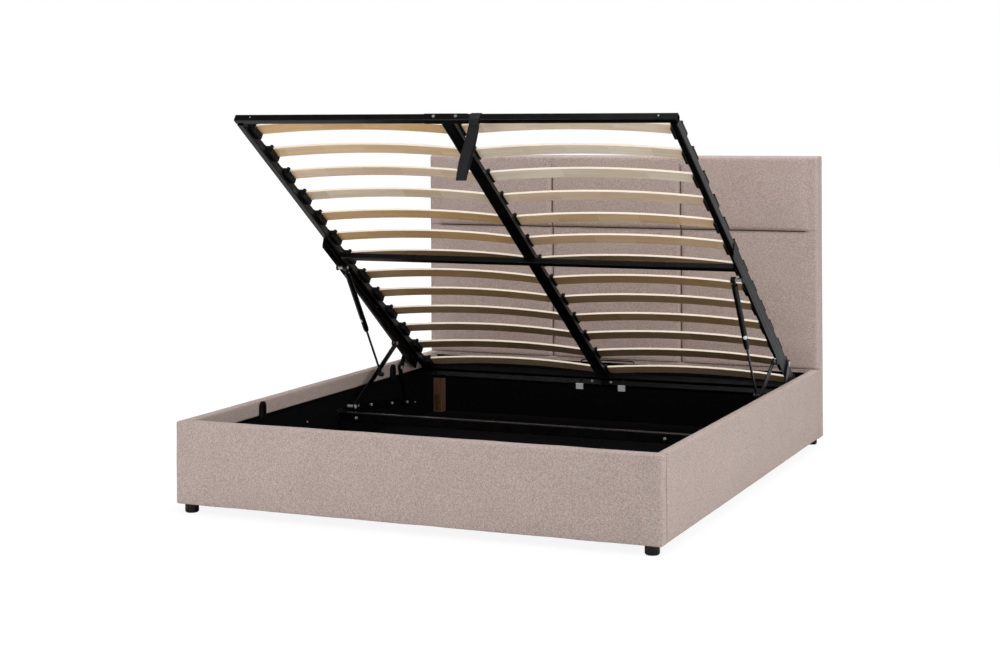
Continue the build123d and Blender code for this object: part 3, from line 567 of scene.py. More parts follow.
@dataclass(frozen=True)
class SawnTimber(Finish):
    """Sawn softwood with its grain along one axis."""

    name: str
    pale: Triple
    dark: Triple
    grain_axis: int
    bends: Pair = (3.0, 26.0)
    fibres: Pair = (14.0, 700.0)
    ring_turns: float = 620.0
    ring_bend: float = 18.0
    relief_depth: float = 0.0004

    def drawn_out(self, lengthwise: float, crosswise: float) -> Triple:
        """One number along the grain and another across it."""
        return tuple(lengthwise if axis == self.grain_axis else crosswise for axis in range(3))

    def material(self) -> bpy.types.Material:
        """Growth rings are sine bands of the cross distance, bent by noise.

        Returns:
            The timber.
        """
        shade = Shade(self.name)
        place = shade.place()
        bend = shade.noise(place, self.drawn_out(*self.bends), 3.0)
        across = shade.along(place, self.drawn_out(0.0, 1.0))
        rings = (across * self.ring_turns + bend * self.ring_bend).sine() * 0.5 + 0.5
        fibre = shade.noise(place, self.drawn_out(*self.fibres))
        colour = shade.mix(rings * 0.6 + fibre * 0.5, self.pale, self.dark)
        return shade.surface(
            {"Base Color": colour, "Roughness": fibre * 0.2 + 0.62},
            {}, fibre, self.relief_depth, strength=0.4,
        )


@dataclass(frozen=True)
class Birch(Finish):
    """Lacquered laminated birch slats of one row, with a tone of its own on each half of the bed."""

    row: int
    left: Tone
    right: Tone
    edge: Triple = (0.98, 0.87, 0.73)
    glue: Triple = (0.76, 0.62, 0.47)
    deep: Triple = (0.74, 0.66, 0.54)
    light: float = 0.18
    block: float = 0.155
    half_span: float = 0.386
    middle: float = 0.401
    bow: float = 0.021
    low: float = 0.0033
    veneer: float = 0.0016
    relief_depth: float = 0.0003

    def toned(self, share: float) -> list[Triple]:
        """Colours of both halves, darkened channel by channel by a share of the deep tone."""
        return [tuple(c * (1.0 - share * (1.0 - d)) for c, d in zip(tone.value, self.deep))
                for tone in (self.left, self.right)]

    def face(self, shade: Shade, across: Value, run: Value, flecks: Value) -> tuple[Value, Value]:
        """Grain and finger-jointed strips on a broad face.

        A strip is a whole number of the place along the slat, and a random number from it shifts
        the strip's tone.

        Args:
            shade: Tree of the wood.
            across: Place along the slat, which lies across the bed.
            run: Place along the platform.
            flecks: Fine noise of the pores.

        Returns:
            Colour of the face and the streaks of its grain.
        """
        side = across > 0.0
        strip = (across * (1.0 / self.block) + 0.37 * self.row).floor()
        drawn = shade.node("ShaderNodeTexWhiteNoise", {"Vector": shade.joined(strip, 0.61 * self.row, side)})
        streaks = shade.noise(shade.joined(across * 2.4, run * 60.0, strip * 7.3), (1.0, 1.0, 1.0), 5.0, 0.62)
        figure = shade.noise(shade.joined(across * 9.0, run * 24.0, strip * 3.1), (1.0, 1.0, 1.0), 3.0, 0.6)
        grain = streaks.step(0.3, 0.72) * 0.40 + figure * 0.25 + drawn * 0.42 - flecks.step(0.62, 0.75) * 0.2
        deep = shade.mix(side, *self.toned(1.0))
        pale = shade.mix(side, *self.toned(-self.light))
        return shade.mix(grain, deep, pale), streaks

    def layers(self, shade: Shade, across: Value, rise: Value, flecks: Value) -> Value:
        """Veneer layers on a narrow edge.

        They are bands of the height over the slat's own bowed underside, which is the height over
        the platform less a parabola across the slat.

        Args:
            shade: Tree of the wood.
            across: Place along the slat.
            rise: Height over the platform.
            flecks: Fine noise of the pores.

        Returns:
            Colour of the edge.
        """
        share = (abs(across) - self.middle) * (1.0 / self.half_span)
        layer = rise - self.low - (1.0 - share * share) * self.bow
        bands = (layer * (2.0 * math.pi / self.veneer)).sine().step(0.35, 0.95)
        return shade.mix(bands * 0.4 + flecks * 0.2, self.edge, self.glue)

    def material(self) -> bpy.types.Material:
        """Wood with its grain on the broad faces and its layers on the narrow edges.

        Returns:
            The wood of the row.
        """
        shade = Shade(f"birch {self.row:02d}")
        place = shade.place()
        across = shade.along(place, X)
        run = shade.along(place, DECK_ALONG, DECK_ORIGIN)
        rise = shade.along(place, DECK_UP, DECK_ORIGIN)
        flecks = shade.noise(shade.joined(across * 90.0, run * 900.0, rise * 900.0), (1.0, 1.0, 1.0), 1.0)
        face, streaks = self.face(shade, across, run, flecks)
        narrow = abs(shade.along(shade.place("Normal"), DECK_ALONG)).step(0.55, 0.85)
        colour = shade.mix(narrow, face, self.layers(shade, across, rise, flecks))
        return shade.surface(
            {"Base Color": colour, "Roughness": streaks * 0.16 + 0.34},
            {"Specular IOR Level": 0.4}, streaks, self.relief_depth, strength=0.25,
        )


@dataclass(frozen=True)
class Webbing(Finish):
    """Black webbing with slanting ribs across its length, on the strap's own UV map."""

    name: str = "black webbing"
    colour: Triple = (0.0050, 0.0042, 0.0062)
    worn: Triple = (0.0210, 0.0180, 0.0250)
    worn_edge: Pair = (0.35, 0.95)
    rib_turns: float = 2600.0
    fibres: Triple = (900.0, 300.0, 1.0)
    relief_depth: float = 0.0006

    def material(self) -> bpy.types.Material:
        """Twill of slanting ribs; U runs across the strap in metres and V along it.

        Returns:
            The webbing.
        """
        shade = Shade(self.name)
        place = shade.place("UV")
        slant = (shade.along(place, X) * self.rib_turns).sine() * 0.9
        ribs = (shade.along(place, Y) * self.rib_turns + slant).sine() * 0.5 + 0.5
        fibres = shade.noise(place, self.fibres, 3.0)
        worn = (ribs * 0.5 + fibres * 0.6).step(*self.worn_edge)
        return shade.surface(
            {"Base Color": shade.mix(worn, self.colour, self.worn), "Roughness": fibres * 0.2 + 0.55},
            {"Sheen Weight": 0.05, "Specular IOR Level": 0.3}, ribs, self.relief_depth, strength=0.6,
        )


def graded(low: float, high: float, margins: Pair, spacing: float, creases: Iterable[float] = (),
           reach: float = 0.024, fine: float = 0.0015, rounds: int = 6) -> Array:
    """Coordinates along an edge, closer together in its margins and beside creases.

    Args:
        low: First coordinate.
        high: Last coordinate.
        margins: Rounding at both ends.
        spacing: Step between the margins.
        creases: Places that get a finer step.
        reach: Distance that the finer step reaches.
        fine: The finer step.
        rounds: Coordinates in each margin.

    Returns:
        Rising coordinates without repeats.
    """
    start, end = low + margins[0], high - margins[1]
    values = np.concatenate([
        np.linspace(low, start, rounds),
        np.linspace(start, end, max(2, round((high - low) / spacing))),
        np.linspace(end, high, rounds),
    ])
    count = round(reach / fine)
    for crease in creases:
        values = values[np.abs(values - crease) > reach]
        values = np.concatenate([values, crease + np.arange(-count, count + 1) * fine])
    return np.unique(np.round(values[(values >= low) & (values <= high)], 6))


def grid_faces(rows: int, columns: int, closed: bool = False) -> Array:
    """Quads of a grid whose points are counted along its columns first.

    Args:
        rows: Number of rows of points.
        columns: Points in a row.
        closed: Whether the last column joins the first.

    Returns:
        Four indices for each quad.
    """
    steps = np.arange(columns if closed else columns - 1)
    row, column = np.meshgrid(np.arange(rows - 1) * columns, steps, indexing="ij")
    after = (column + 1) % columns
    quads = [row + column, row + after, row + columns + after, row + columns + column]
    return np.stack(quads, -1).reshape(-1, 4)


def welded(points: Array, faces: Array) -> tuple[Array, Array]:
    """Points that share a place become one, and the faces follow."""
    places, same = np.unique(np.round(points, 6), axis=0, return_inverse=True)
    return places, same.reshape(-1)[faces]


def smooth_step(values: Array, low: float, high: float) -> Array:
    """Smooth rise from 0 at low to 1 at high."""
    t = np.clip((values - low) / (high - low), 0.0, 1.0)
    return t * t * (3 - 2 * t)


@dataclass(frozen=True)
class SoftBlock:
    """Block with rounded edges, each side with a radius of its own."""

    low: Triple
    high: Triple
    low_radius: Triple
    high_radius: Triple
    spacing: float
    creases: tuple[tuple[float, ...], ...] = ((), (), ())

    def shell(self) -> tuple[Array, Array, Array]:
        """Closed shell of the block.

        A point of the plain block is taken back to the nearest point of a smaller inner block, and
        the way between them is replaced by the same direction on an ellipsoid of the edge radii.

        Returns:
            Points, faces and the outward directions of the points.
        """
        sides = zip(self.low, self.high, zip(self.low_radius, self.high_radius), self.creases)
        axes = [graded(low, high, radii, self.spacing, creases) for low, high, radii, creases in sides]
        points, faces, count = [], [], 0
        for k in range(3):
            a, b = (k + 1) % 3, (k + 2) % 3
            first, second = np.meshgrid(axes[a], axes[b], indexing="ij")
            for level, outward in ((self.low[k], False), (self.high[k], True)):
                side = np.zeros((first.size, 3))
                side[:, a], side[:, b], side[:, k] = first.ravel(), second.ravel(), level
                quads = grid_faces(len(axes[a]), len(axes[b])) + count
                points.append(side)
                faces.append(quads[:, ::-1] if outward else quads)
                count += first.size
        cloud, quads = welded(np.concatenate(points), np.concatenate(faces))
        inner_low = np.array(self.low) + self.low_radius
        inner_high = np.array(self.high) - self.high_radius
        inner = np.clip(cloud, inner_low, inner_high)
        radius = np.where(cloud < inner, self.low_radius, self.high_radius)
        offset = (cloud - inner) / np.maximum(radius, 1e-6)
        length = np.linalg.norm(offset, axis=1, keepdims=True)
        unit = offset / np.maximum(length, 1e-9)
        return inner + unit * radius, quads, unit


@dataclass(frozen=True)
class Ripple:
    """Gentle unevenness of cloth: two products of slanting sines, the second of shorter waves."""

    depth: float
    wave: float
    seed: float
    slants: tuple[Triple, ...] = ((1.0, 0.17, 0.31), (-0.23, 0.0, 1.0), (0.6, 0.4, -1.0), (0.5, 1.0, 0.0))
    pitches: tuple[float, ...] = (1.0, 0.83, 1.9, 1.4)
    shifts: tuple[float, ...] = (1.0, 1.7, 2.3, -1.0)
    first_share: float = 0.65

    def height(self, points: Array) -> Array:
        """Uneven height over a surface, within plus and minus the depth.

        Args:
            points: Places on the surface.

        Returns:
            A height for each point.
        """
        turns = points @ np.array(self.slants).T * self.pitches * (2 * math.pi / self.wave)
        sines = np.sin(turns + self.seed * np.array(self.shifts))
        first, second = sines[:, 0] * sines[:, 1], sines[:, 2] * sines[:, 3]
        return self.depth * (self.first_share * first + (1 - self.first_share) * second)


@dataclass(frozen=True)
class Pucker:
    """Small folds of cloth across a seam: a wandering sine along it that dies away beside it."""

    depth: float
    wave: float
    bend: float
    wander: float
    reach: float

    def height(self, along: Array, distance: Array) -> Array:
        """Height of the folds at places along the seam and at distances from it."""
        turns = along * 2 * math.pi / self.wave + self.bend * np.sin(along * self.wander)
        return self.depth * np.sin(turns) * np.exp(-distance / self.reach)


def make_piece(name: str, points: Array, faces: Array, body: str, material: bpy.types.Material,
               replaced: Sequence[str] = (), uv: Array | None = None) -> bpy.types.Object:
    """Makes a smooth mesh piece that rides on a body.

    Args:
        name: Name of the piece.
        points: Vertices.
        faces: Four vertex indices for each face.
        body: Body that it moves with.
        material: Finish of the piece.
        replaced: CAD nodes that it stands for.
        uv: Map coordinates of the vertices.

    Returns:
        The new object.
    """
    mesh = bpy.data.meshes.new(name)
    mesh.from_pydata(points.tolist(), [], faces.tolist())
    mesh.polygons.foreach_set("use_smooth", np.ones(len(mesh.polygons), bool))
    if uv is not None:
        layer = mesh.uv_layers.new(name="UVMap")
        loops = np.zeros(len(mesh.loops), np.int32)
        mesh.loops.foreach_get("vertex_index", loops)
        layer.data.foreach_set("uv", uv[loops].astype(np.float32).ravel())
    mesh.materials.append(material)
    mesh.update()
    piece = bpy.data.objects.new(name, mesh)
    bpy.context.scene.collection.objects.link(piece)
    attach(piece, body)
    if replaced:
        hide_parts(*replaced)
    LOG.info("piece %s: %d points", name, len(points))
    return piece


@dataclass
class Headboard:
    """Padded headboard: two rows of three fields over a fabric back."""

    cloth: bpy.types.Material
    row_seam: float = 0.867
    field_seam: float = 0.2865
    upper_proud: float = 0.008
    upper_rise: Pair = (-0.004, 0.010)
    upper_at_edge: float = 0.35
    crease_depth: float = 0.0095
    crease_half: float = 0.022
    crease_power: float = 2.4
    groove_depth: float = 0.0075
    groove_half: float = 0.0045
    margin: float = 0.040
    fade: float = 0.026
    crown: float = 0.0045
    crown_power: float = 3.5
    lower_run: float = 0.3
    level_pucker: Pucker = Pucker(depth=0.0007, wave=0.031, bend=3, wander=17, reach=0.022)
    upright_pucker: Pucker = Pucker(depth=0.0006, wave=0.027, bend=2, wander=23, reach=0.020)
    front_ripple: Ripple = Ripple(depth=0.0006, wave=0.23, seed=0.7)
    rear_ripple: Ripple = Ripple(depth=0.0003, wave=0.31, seed=1.3)
    pad_radii: Corners = ((0.013, 0.013, 0.003), (0.013, 0.002, 0.013))
    rear_radii: Corners = ((0.003, 0.002, 0.004), (0.003, 0.006, 0.013))
    lower_radii: Corners = ((0.003, 0.003, 0.004), (0.003, 0.0005, 0.002))
    pad_spacing: float = 0.012
    plain_spacing: float = 0.03
    lower_proud: float = 0.0002

    def crease(self, distance: Array) -> Array:
        """Depth of a sewn channel: a wide hollow, steepest at the seam, and a narrow groove in it."""
        hollow = np.clip(1 - np.abs(distance) / self.crease_half, 0, 1) ** self.crease_power
        groove = np.clip(1 - np.abs(distance) / self.groove_half, 0, 1)
        return self.crease_depth * hollow + self.groove_depth * groove

    def puff(self, values: Array, low: float, high: float) -> Array:
        """Fullness across a field: 0 at its seams, rising fast to 1 in its middle."""
        t = np.clip((values - low) / (high - low), 0, 1) * 2 - 1
        return 1 - np.abs(t) ** self.crown_power

    def faded(self, values: Array, edge: float) -> Array:
        """Share of a seam that is left before an outer edge."""
        return 1 - smooth_step(values, edge - self.margin - self.fade, edge - self.margin)

    def fullness(self, x: Array, z: Array) -> Array:
        """Crown of the six fields.

        Args:
            x: Places across the bed.
            z: Heights over the floor.

        Returns:
            0 at the seams, rising to 1 in the middle of a field.
        """
        lower = self.puff(z, SIDE_HEIGHT - self.lower_run, self.row_seam)
        rows = np.where(z > self.row_seam, self.puff(z, self.row_seam, HEAD_TOP), lower)
        bounds = (-HALF_WIDTH, -self.field_seam, self.field_seam, HALF_WIDTH)
        fields = np.zeros_like(x)
        for low, high in zip(bounds, bounds[1:]):
            fields = np.where((x >= low) & (x <= high), self.puff(x, low, high), fields)
        return rows * fields

    def front_height(self, x: Array, z: Array) -> Array:
        """How far the padded front stands before the lower row's plane.

        The upper row's step, plus a crown in each field, less the sewn channels, which fade out
        before the outer edges and pucker the cloth beside them.

        Args:
            x: Places across the bed.
            z: Heights over the floor.

        Returns:
            A height for each place.
        """
        side_fade = self.faded(np.abs(x), HALF_WIDTH)
        upper = smooth_step(z, *(self.row_seam + rise for rise in self.upper_rise))
        upper = upper * (self.upper_at_edge + (1 - self.upper_at_edge) * side_fade)
        level = self.crease(z - self.row_seam) * side_fade
        to_upright = np.abs(np.abs(x) - self.field_seam)
        upright = self.crease(to_upright) * self.faded(z, HEAD_TOP)
        pucker = self.level_pucker.height(x, np.abs(z - self.row_seam)) * side_fade
        pucker += self.upright_pucker.height(z, to_upright)
        full = self.upper_proud * upper + self.crown * self.fullness(x, z)
        return full - np.maximum(upright, level) + pucker

    def pad(self) -> None:
        """Makes the padded front."""
        sewn = Weave("sewn upholstery cloth", seam_level=self.row_seam, seam_uprights=self.field_seam,
                     seam_reach=HALF_WIDTH - self.margin).material()
        low = (-HALF_WIDTH, HEAD_FRONT, SIDE_HEIGHT + SEAM_GAP)
        high = (HALF_WIDTH, PANEL_FRONT - SEAM_GAP, HEAD_TOP)
        seams = ((-self.field_seam, self.field_seam), (), (self.row_seam,))
        points, faces, outward = SoftBlock(low, high, *self.pad_radii, self.pad_spacing, seams).shell()
        height = self.front_height(points[:, 0], points[:, 2]) + self.front_ripple.height(points)
        points[:, 1] -= np.clip(-outward[:, 1], 0, 1) * height
        piece = make_piece("headboard_pad", points, faces, "base", sewn,
                           ["headboard_cushion"])

    def back(self) -> None:
        """Makes the back and, in the same piece, the block under the padded front."""
        low, high = (-HALF_WIDTH, PANEL_FRONT, FLOOR_GAP), (HALF_WIDTH, HEAD_FACE, HEAD_TOP)
        rear, rear_faces, outward = SoftBlock(low, high, *self.rear_radii, self.plain_spacing).shell()
        rear += outward * (self.rear_ripple.height(rear) - self.rear_ripple.depth)[:, None]
        low = (-HALF_WIDTH, HEAD_FRONT - self.lower_proud, FLOOR_GAP)
        high = (HALF_WIDTH, PANEL_FRONT, SIDE_HEIGHT)
        lower, lower_faces, _ = SoftBlock(low, high, *self.lower_radii, self.plain_spacing).shell()
        faces = np.concatenate([rear_faces, lower_faces + len(rear)])
        piece = make_piece("headboard_back", np.concatenate([rear, lower]), faces, "base",
                           self.cloth, ["headboard_cover"])

    def build(self) -> None:
        """Makes both pieces."""
        self.pad()
        self.back()


@dataclass
class BoxCovers:
    """Cloth of the footboard and the side rails, folded over to a band on the inner side."""

    cloth: bpy.types.Material
    foot_radii: Corners = ((0.009, 0.009, 0.006), (0.009, 0.006, 0.009))
    rail_radii: Corners = ((0.009, 0.0035, 0.006), (0.009, 0.0025, 0.009))
    spacing: float = 0.022
    sink: float = 0.0006
    tuck: float = 0.0045
    fold: Pair = (-0.001, 0.002)

    def cover(self, name: str, node: str, radii: Corners, ripple: Ripple, axis: int, sign: int) -> None:
        """Makes one cover in the box of its CAD node, with a folded edge at the band's bottom.

        Below the band the inner side stands back.

        Args:
            name: Name of the piece.
            node: CAD node that it stands for.
            radii: Edge radii of the low and of the high sides.
            ripple: Unevenness of the cloth.
            axis: Axis that the inner side faces, 0 for X and 1 for Y.
            sign: 1 where it faces along that axis and -1 against it.
        """
        block = SoftBlock(*corners(node), *radii, self.spacing, ((), (), (BAND_BOTTOM,)))
        points, faces, outward = block.shell()
        points += outward * (ripple.height(points) - self.sink)[:, None]
        inner = np.clip(outward[:, axis] * sign, 0, 1)
        below = 1 - smooth_step(points[:, 2], *(BAND_BOTTOM + edge for edge in self.fold))
        points[:, axis] -= sign * inner * below * self.tuck
        piece = make_piece(name, points, faces, "base", self.cloth, [node])

    def build(self) -> None:
        """Makes the three covers."""
        foot_ripple = Ripple(depth=0.0009, wave=0.27, seed=0.4)
        self.cover("footboard_cloth", "footboard_cover", self.foot_radii, foot_ripple, axis=1, sign=1)
        for side in Side:
            ripple = Ripple(depth=0.0008, wave=0.29, seed=1.1 + side.value)
            self.cover(f"rail_cloth_{side.word}", f"side_cover_{side.word}", self.rail_radii, ripple,
                       axis=0, sign=-side.value)


@dataclass
class PullStrap:
    """Webbing loop round the foot tube, both layers hanging together and leaning to the middle."""

    webbing: bpy.types.Material
    width: float = 0.037
    thickness: float = 0.0022
    drop: float = 0.209
    top_x: float = 0.104
    lean: float = 0.051
    lean_start: float = 0.014
    kink: float = 0.0018
    twist: float = 0.010
    cup: float = 0.0012
    clearance: float = 0.0014
    squareness: int = 9
    parting: float = 0.0035
    first_turn: float = 0.18
    neck: float = 0.012
    gap: float = 0.0024
    belly: float = 0.0050
    spread: float = 0.0012
    fold_height: float = 0.006
    fold_shape: Pair = (1.25, 2.0)
    tube_steps: int = 220
    layer_steps: int = 40
    fold_steps: int = 13
    width_steps: int = 9

    def round_tube(self) -> tuple[Array, Array]:
        """Webbing round the tube, a square with rounded corners that is turned with the platform.

        Returns:
            Its points in Y and Z from the tube's middle, in order round the tube and open below,
            and the lowest point of the whole square.
        """
        turn = np.linspace(0, 2 * math.pi, self.tube_steps, endpoint=False)
        circle = np.stack([np.cos(turn), np.sin(turn)], 1)
        reach = np.sum(np.abs(circle) ** self.squareness, axis=1, keepdims=True) ** (-1 / self.squareness)
        square = circle * reach * (TUBE / 2 + self.clearance) @ np.array([DECK_ALONG[1:], DECK_UP[1:]])
        lowest = square[np.argmin(square[:, 1])]
        upper = square[square[:, 1] > lowest[1] + self.parting]
        angle = np.arctan2(upper[:, 1], upper[:, 0]) + math.pi / 2 - self.first_turn
        return upper[np.argsort(-np.mod(angle, 2 * math.pi))], lowest

    def loop(self) -> tuple[Array, Array]:
        """Closed line of the webbing beside the tube.

        Below the tube's lowest corner both layers come together, belly apart as half a sine and
        meet in a fold, which is half an ellipse.

        Returns:
            The line in Y and Z from the tube's middle, and how far each of its points belongs to
            the rear layer, from -1 on the front layer to 1, with 0 round the tube.
        """
        upper, (lowest_y, lowest_z) = self.round_tube()
        down = np.linspace(0, 1, self.layer_steps)
        height = lowest_z - self.neck + down * (self.neck - lowest_z - self.drop + self.fold_height)
        wide = self.gap + self.belly * np.sin(math.pi * down ** 1.3) ** 1.2
        front = np.stack([lowest_y - wide, height], 1)
        rear = np.stack([lowest_y + wide, height], 1)[::-1]
        bend = np.linspace(math.pi, 2 * math.pi, self.fold_steps)[1:-1]
        ellipse = np.stack([np.cos(bend), np.sin(bend)], 1) * self.fold_shape * self.gap
        line = np.concatenate([front, ellipse + (lowest_y, height[-1]), rear, upper])
        layer = [-np.ones(len(front)), np.cos(bend), np.ones(len(rear)), np.zeros(len(upper))]
        return line, np.concatenate(layer)

    def fallen(self, line: Array) -> Array:
        """How far points hang below the tube, from 0 at the tube to 1 at the fold."""
        return np.clip((-line[:, 1] - self.lean_start) / (self.drop - self.lean_start), 0, 1)

    def middle(self, line: Array, rear: Array) -> Array:
        """Middle of the webbing across the bed, with a kink where the tube held it folded.

        Args:
            line: Closed line of the webbing.
            rear: How far each of its points belongs to the rear layer.

        Returns:
            A place in X for each point of the line.
        """
        low = self.fallen(line)
        kinked = self.kink * np.sin(2 * math.pi * low) * (low > 0)
        apart = self.spread * rear * np.sin(math.pi * low) ** 0.8
        round_tube = rear == 0
        wrap = np.cumsum(round_tube) / np.sum(round_tube) * round_tube
        return self.top_x - self.lean * low + kinked + apart + self.twist * np.sin(math.pi * wrap)

    def build(self) -> None:
        """Carries the webbing's width along the loop, with its thickness across the loop."""
        line, rear = self.loop()
        across = np.linspace(-0.5, 0.5, self.width_steps)
        x = self.middle(line, rear)[:, None] + across * self.width
        cupped = self.cup * (2 * across) ** 2 * self.fallen(line)[:, None]
        step = np.roll(line, -1, 0) - np.roll(line, 1, 0)
        normal = np.stack([step[:, 1], -step[:, 0]], 1)
        normal /= np.linalg.norm(normal, axis=1, keepdims=True)
        walls = []
        for offset in (-self.thickness / 2, self.thickness / 2):
            y, z = (line + normal * offset + TUBE_MIDDLE[1:]).T
            walls.append(np.stack([x, y[:, None] + cupped, np.repeat(z[:, None], len(across), 1)], -1))
        ring = np.concatenate([walls[0], walls[1][:, ::-1]], 1)
        rows, columns = ring.shape[:2]
        faces = grid_faces(rows + 1, columns, closed=True) % (rows * columns)
        length = np.concatenate([[0], np.cumsum(np.linalg.norm(np.diff(line, axis=0), axis=1))])
        u = np.concatenate([across, across[::-1]]) * self.width
        uv = np.stack([np.tile(u, rows), np.repeat(length, columns)], 1)
        make_piece("strap_webbing", ring.reshape(-1, 3), faces, "platform", self.webbing,
                   ["pull_strap"], uv)


@dataclass
class StrutStickers:
    """Plain round sticker on the outer side of each gas strut's cylinder."""

    paper: bpy.types.Material
    from_pin: float = 0.262
    radius: float = 0.0085
    cylinder: float = 0.011
    turn: float = 0.52
    lifts: Pair = (0.0004, 0.00005)
    rings: int = 6
    spokes: int = 24

    def faces(self) -> Array:
        """Faces of two discs of rings and of the rim between them.

        Returns:
            Four indices for each face, the points of the outer disc first.
        """
        count = self.rings * self.spokes
        disc = grid_faces(self.rings, self.spokes, closed=True)
        rim = np.arange(count - self.spokes, count)
        after = np.roll(rim, -1)
        wall = np.stack([rim, after, after + count, rim + count], 1)
        return np.concatenate([disc, disc[:, ::-1] + count, wall])

    def build(self) -> None:
        """Wraps a disc of rings round each cylinder: a ring point's side step becomes a turn."""
        spoke_turns = np.linspace(0, 2 * math.pi, self.spokes, endpoint=False)
        ring, spoke = np.meshgrid(np.linspace(0, self.radius, self.rings), spoke_turns, indexing="ij")
        angle = self.turn + (ring * np.cos(spoke)).reshape(-1, 1) / self.cylinder
        forward = (ring * np.sin(spoke)).reshape(-1, 1)
        for side in Side:
            cylinder = f"strut_cylinder_{side.word}"
            along = np.array(joint(f"strut_{side.word}_stroke")["axis"])
            pin = np.array(joint(f"strut_{side.word}_swing")["pos_m"]) * (0, 1, 1)
            middle = pin + np.mean(corners(cylinder), axis=0) * X + along * self.from_pin
            away = np.cos(angle) * (0.0, along[2], -along[1]) + np.sin(angle) * (side.value, 0.0, 0.0)
            points = [middle + forward * along + away * (self.cylinder + lift) for lift in self.lifts]
            make_piece(f"strut_sticker_{side.word}", np.concatenate(points), self.faces()[:, ::side.value],
                       cylinder, self.paper)


@dataclass
class Lining:
    """Black lining sheets on the inner sides of the storage box."""

    fleece: bpy.types.Material
    thickness: float = 0.0012
    back_gap: float = 0.0001
    billow: Ripple = Ripple(depth=0.00025, wave=0.19, seed=0.6)
    band_gap: float = 0.0006
    head_gap: float = 0.002
    top_gap: float = 0.0002
    columns: int = 90
    rows: int = 14

    def sheet(self, name: str, corner: Triple, across: Triple, up: Triple, inward: Triple) -> None:
        """Makes one sheet with a slight billow between its glued edges.

        Args:
            name: Name of the piece.
            corner: Its lower corner on the backing board.
            across: Its length as a vector.
            up: Its height as a vector.
            inward: Direction away from the board.
        """
        shape = (self.columns, self.rows)
        u, v = np.meshgrid(*(np.linspace(0, 1, count) for count in shape), indexing="ij")
        u, v = u.reshape(-1, 1), v.reshape(-1, 1)
        flat = np.array(corner) + u * across + v * up
        uneven = self.billow.depth + self.billow.height(flat)[:, None]
        front = flat + (self.thickness + uneven * np.sin(math.pi * u) * np.sin(math.pi * v)) * inward
        back = flat + np.array(inward) * self.back_gap
        count = len(flat)
        quads = grid_faces(*shape)
        grid = np.arange(count).reshape(shape)
        rim = np.concatenate([grid[:, 0], grid[-1, 1:], grid[-2::-1, -1], grid[0, -2:0:-1]])
        after = np.roll(rim, -1)
        wall = np.stack([rim + count, after + count, after, rim], 1)
        faces = np.concatenate([quads, quads[:, ::-1] + count, wall])
        turned = np.dot(np.cross(across, up), inward) > 0
        piece = make_piece(name, np.concatenate([front, back]), faces[:, ::-1] if turned else faces, "base",
                           self.fleece, ["inner_linings"])

    def build(self) -> None:
        """Makes the four sheets in the box of the CAD node of the linings."""
        (_, foot_board, low), (side_board, head_board, top) = corners("inner_linings")
        start, end = FOOT_INNER + 2 * SEAM_GAP, HEAD_FRONT - self.head_gap
        wide = RAIL_INNER - 2 * SEAM_GAP
        up = (0.0, 0.0, BAND_BOTTOM - self.band_gap - low)
        head_up = (0.0, 0.0, top - self.top_gap - low)
        for side in Side:
            self.sheet(f"rail_lining_{side.word}", (side.value * side_board, start, low),
                       (0.0, end - start, 0.0), up, (-side.value, 0, 0))
        self.sheet("foot_lining", (-wide, foot_board, low), (2 * wide, 0.0, 0.0), up, (0, 1, 0))
        self.sheet("head_lining", (-wide, head_board, low), (2 * wide, 0.0, 0.0), head_up, (0, -1, 0))


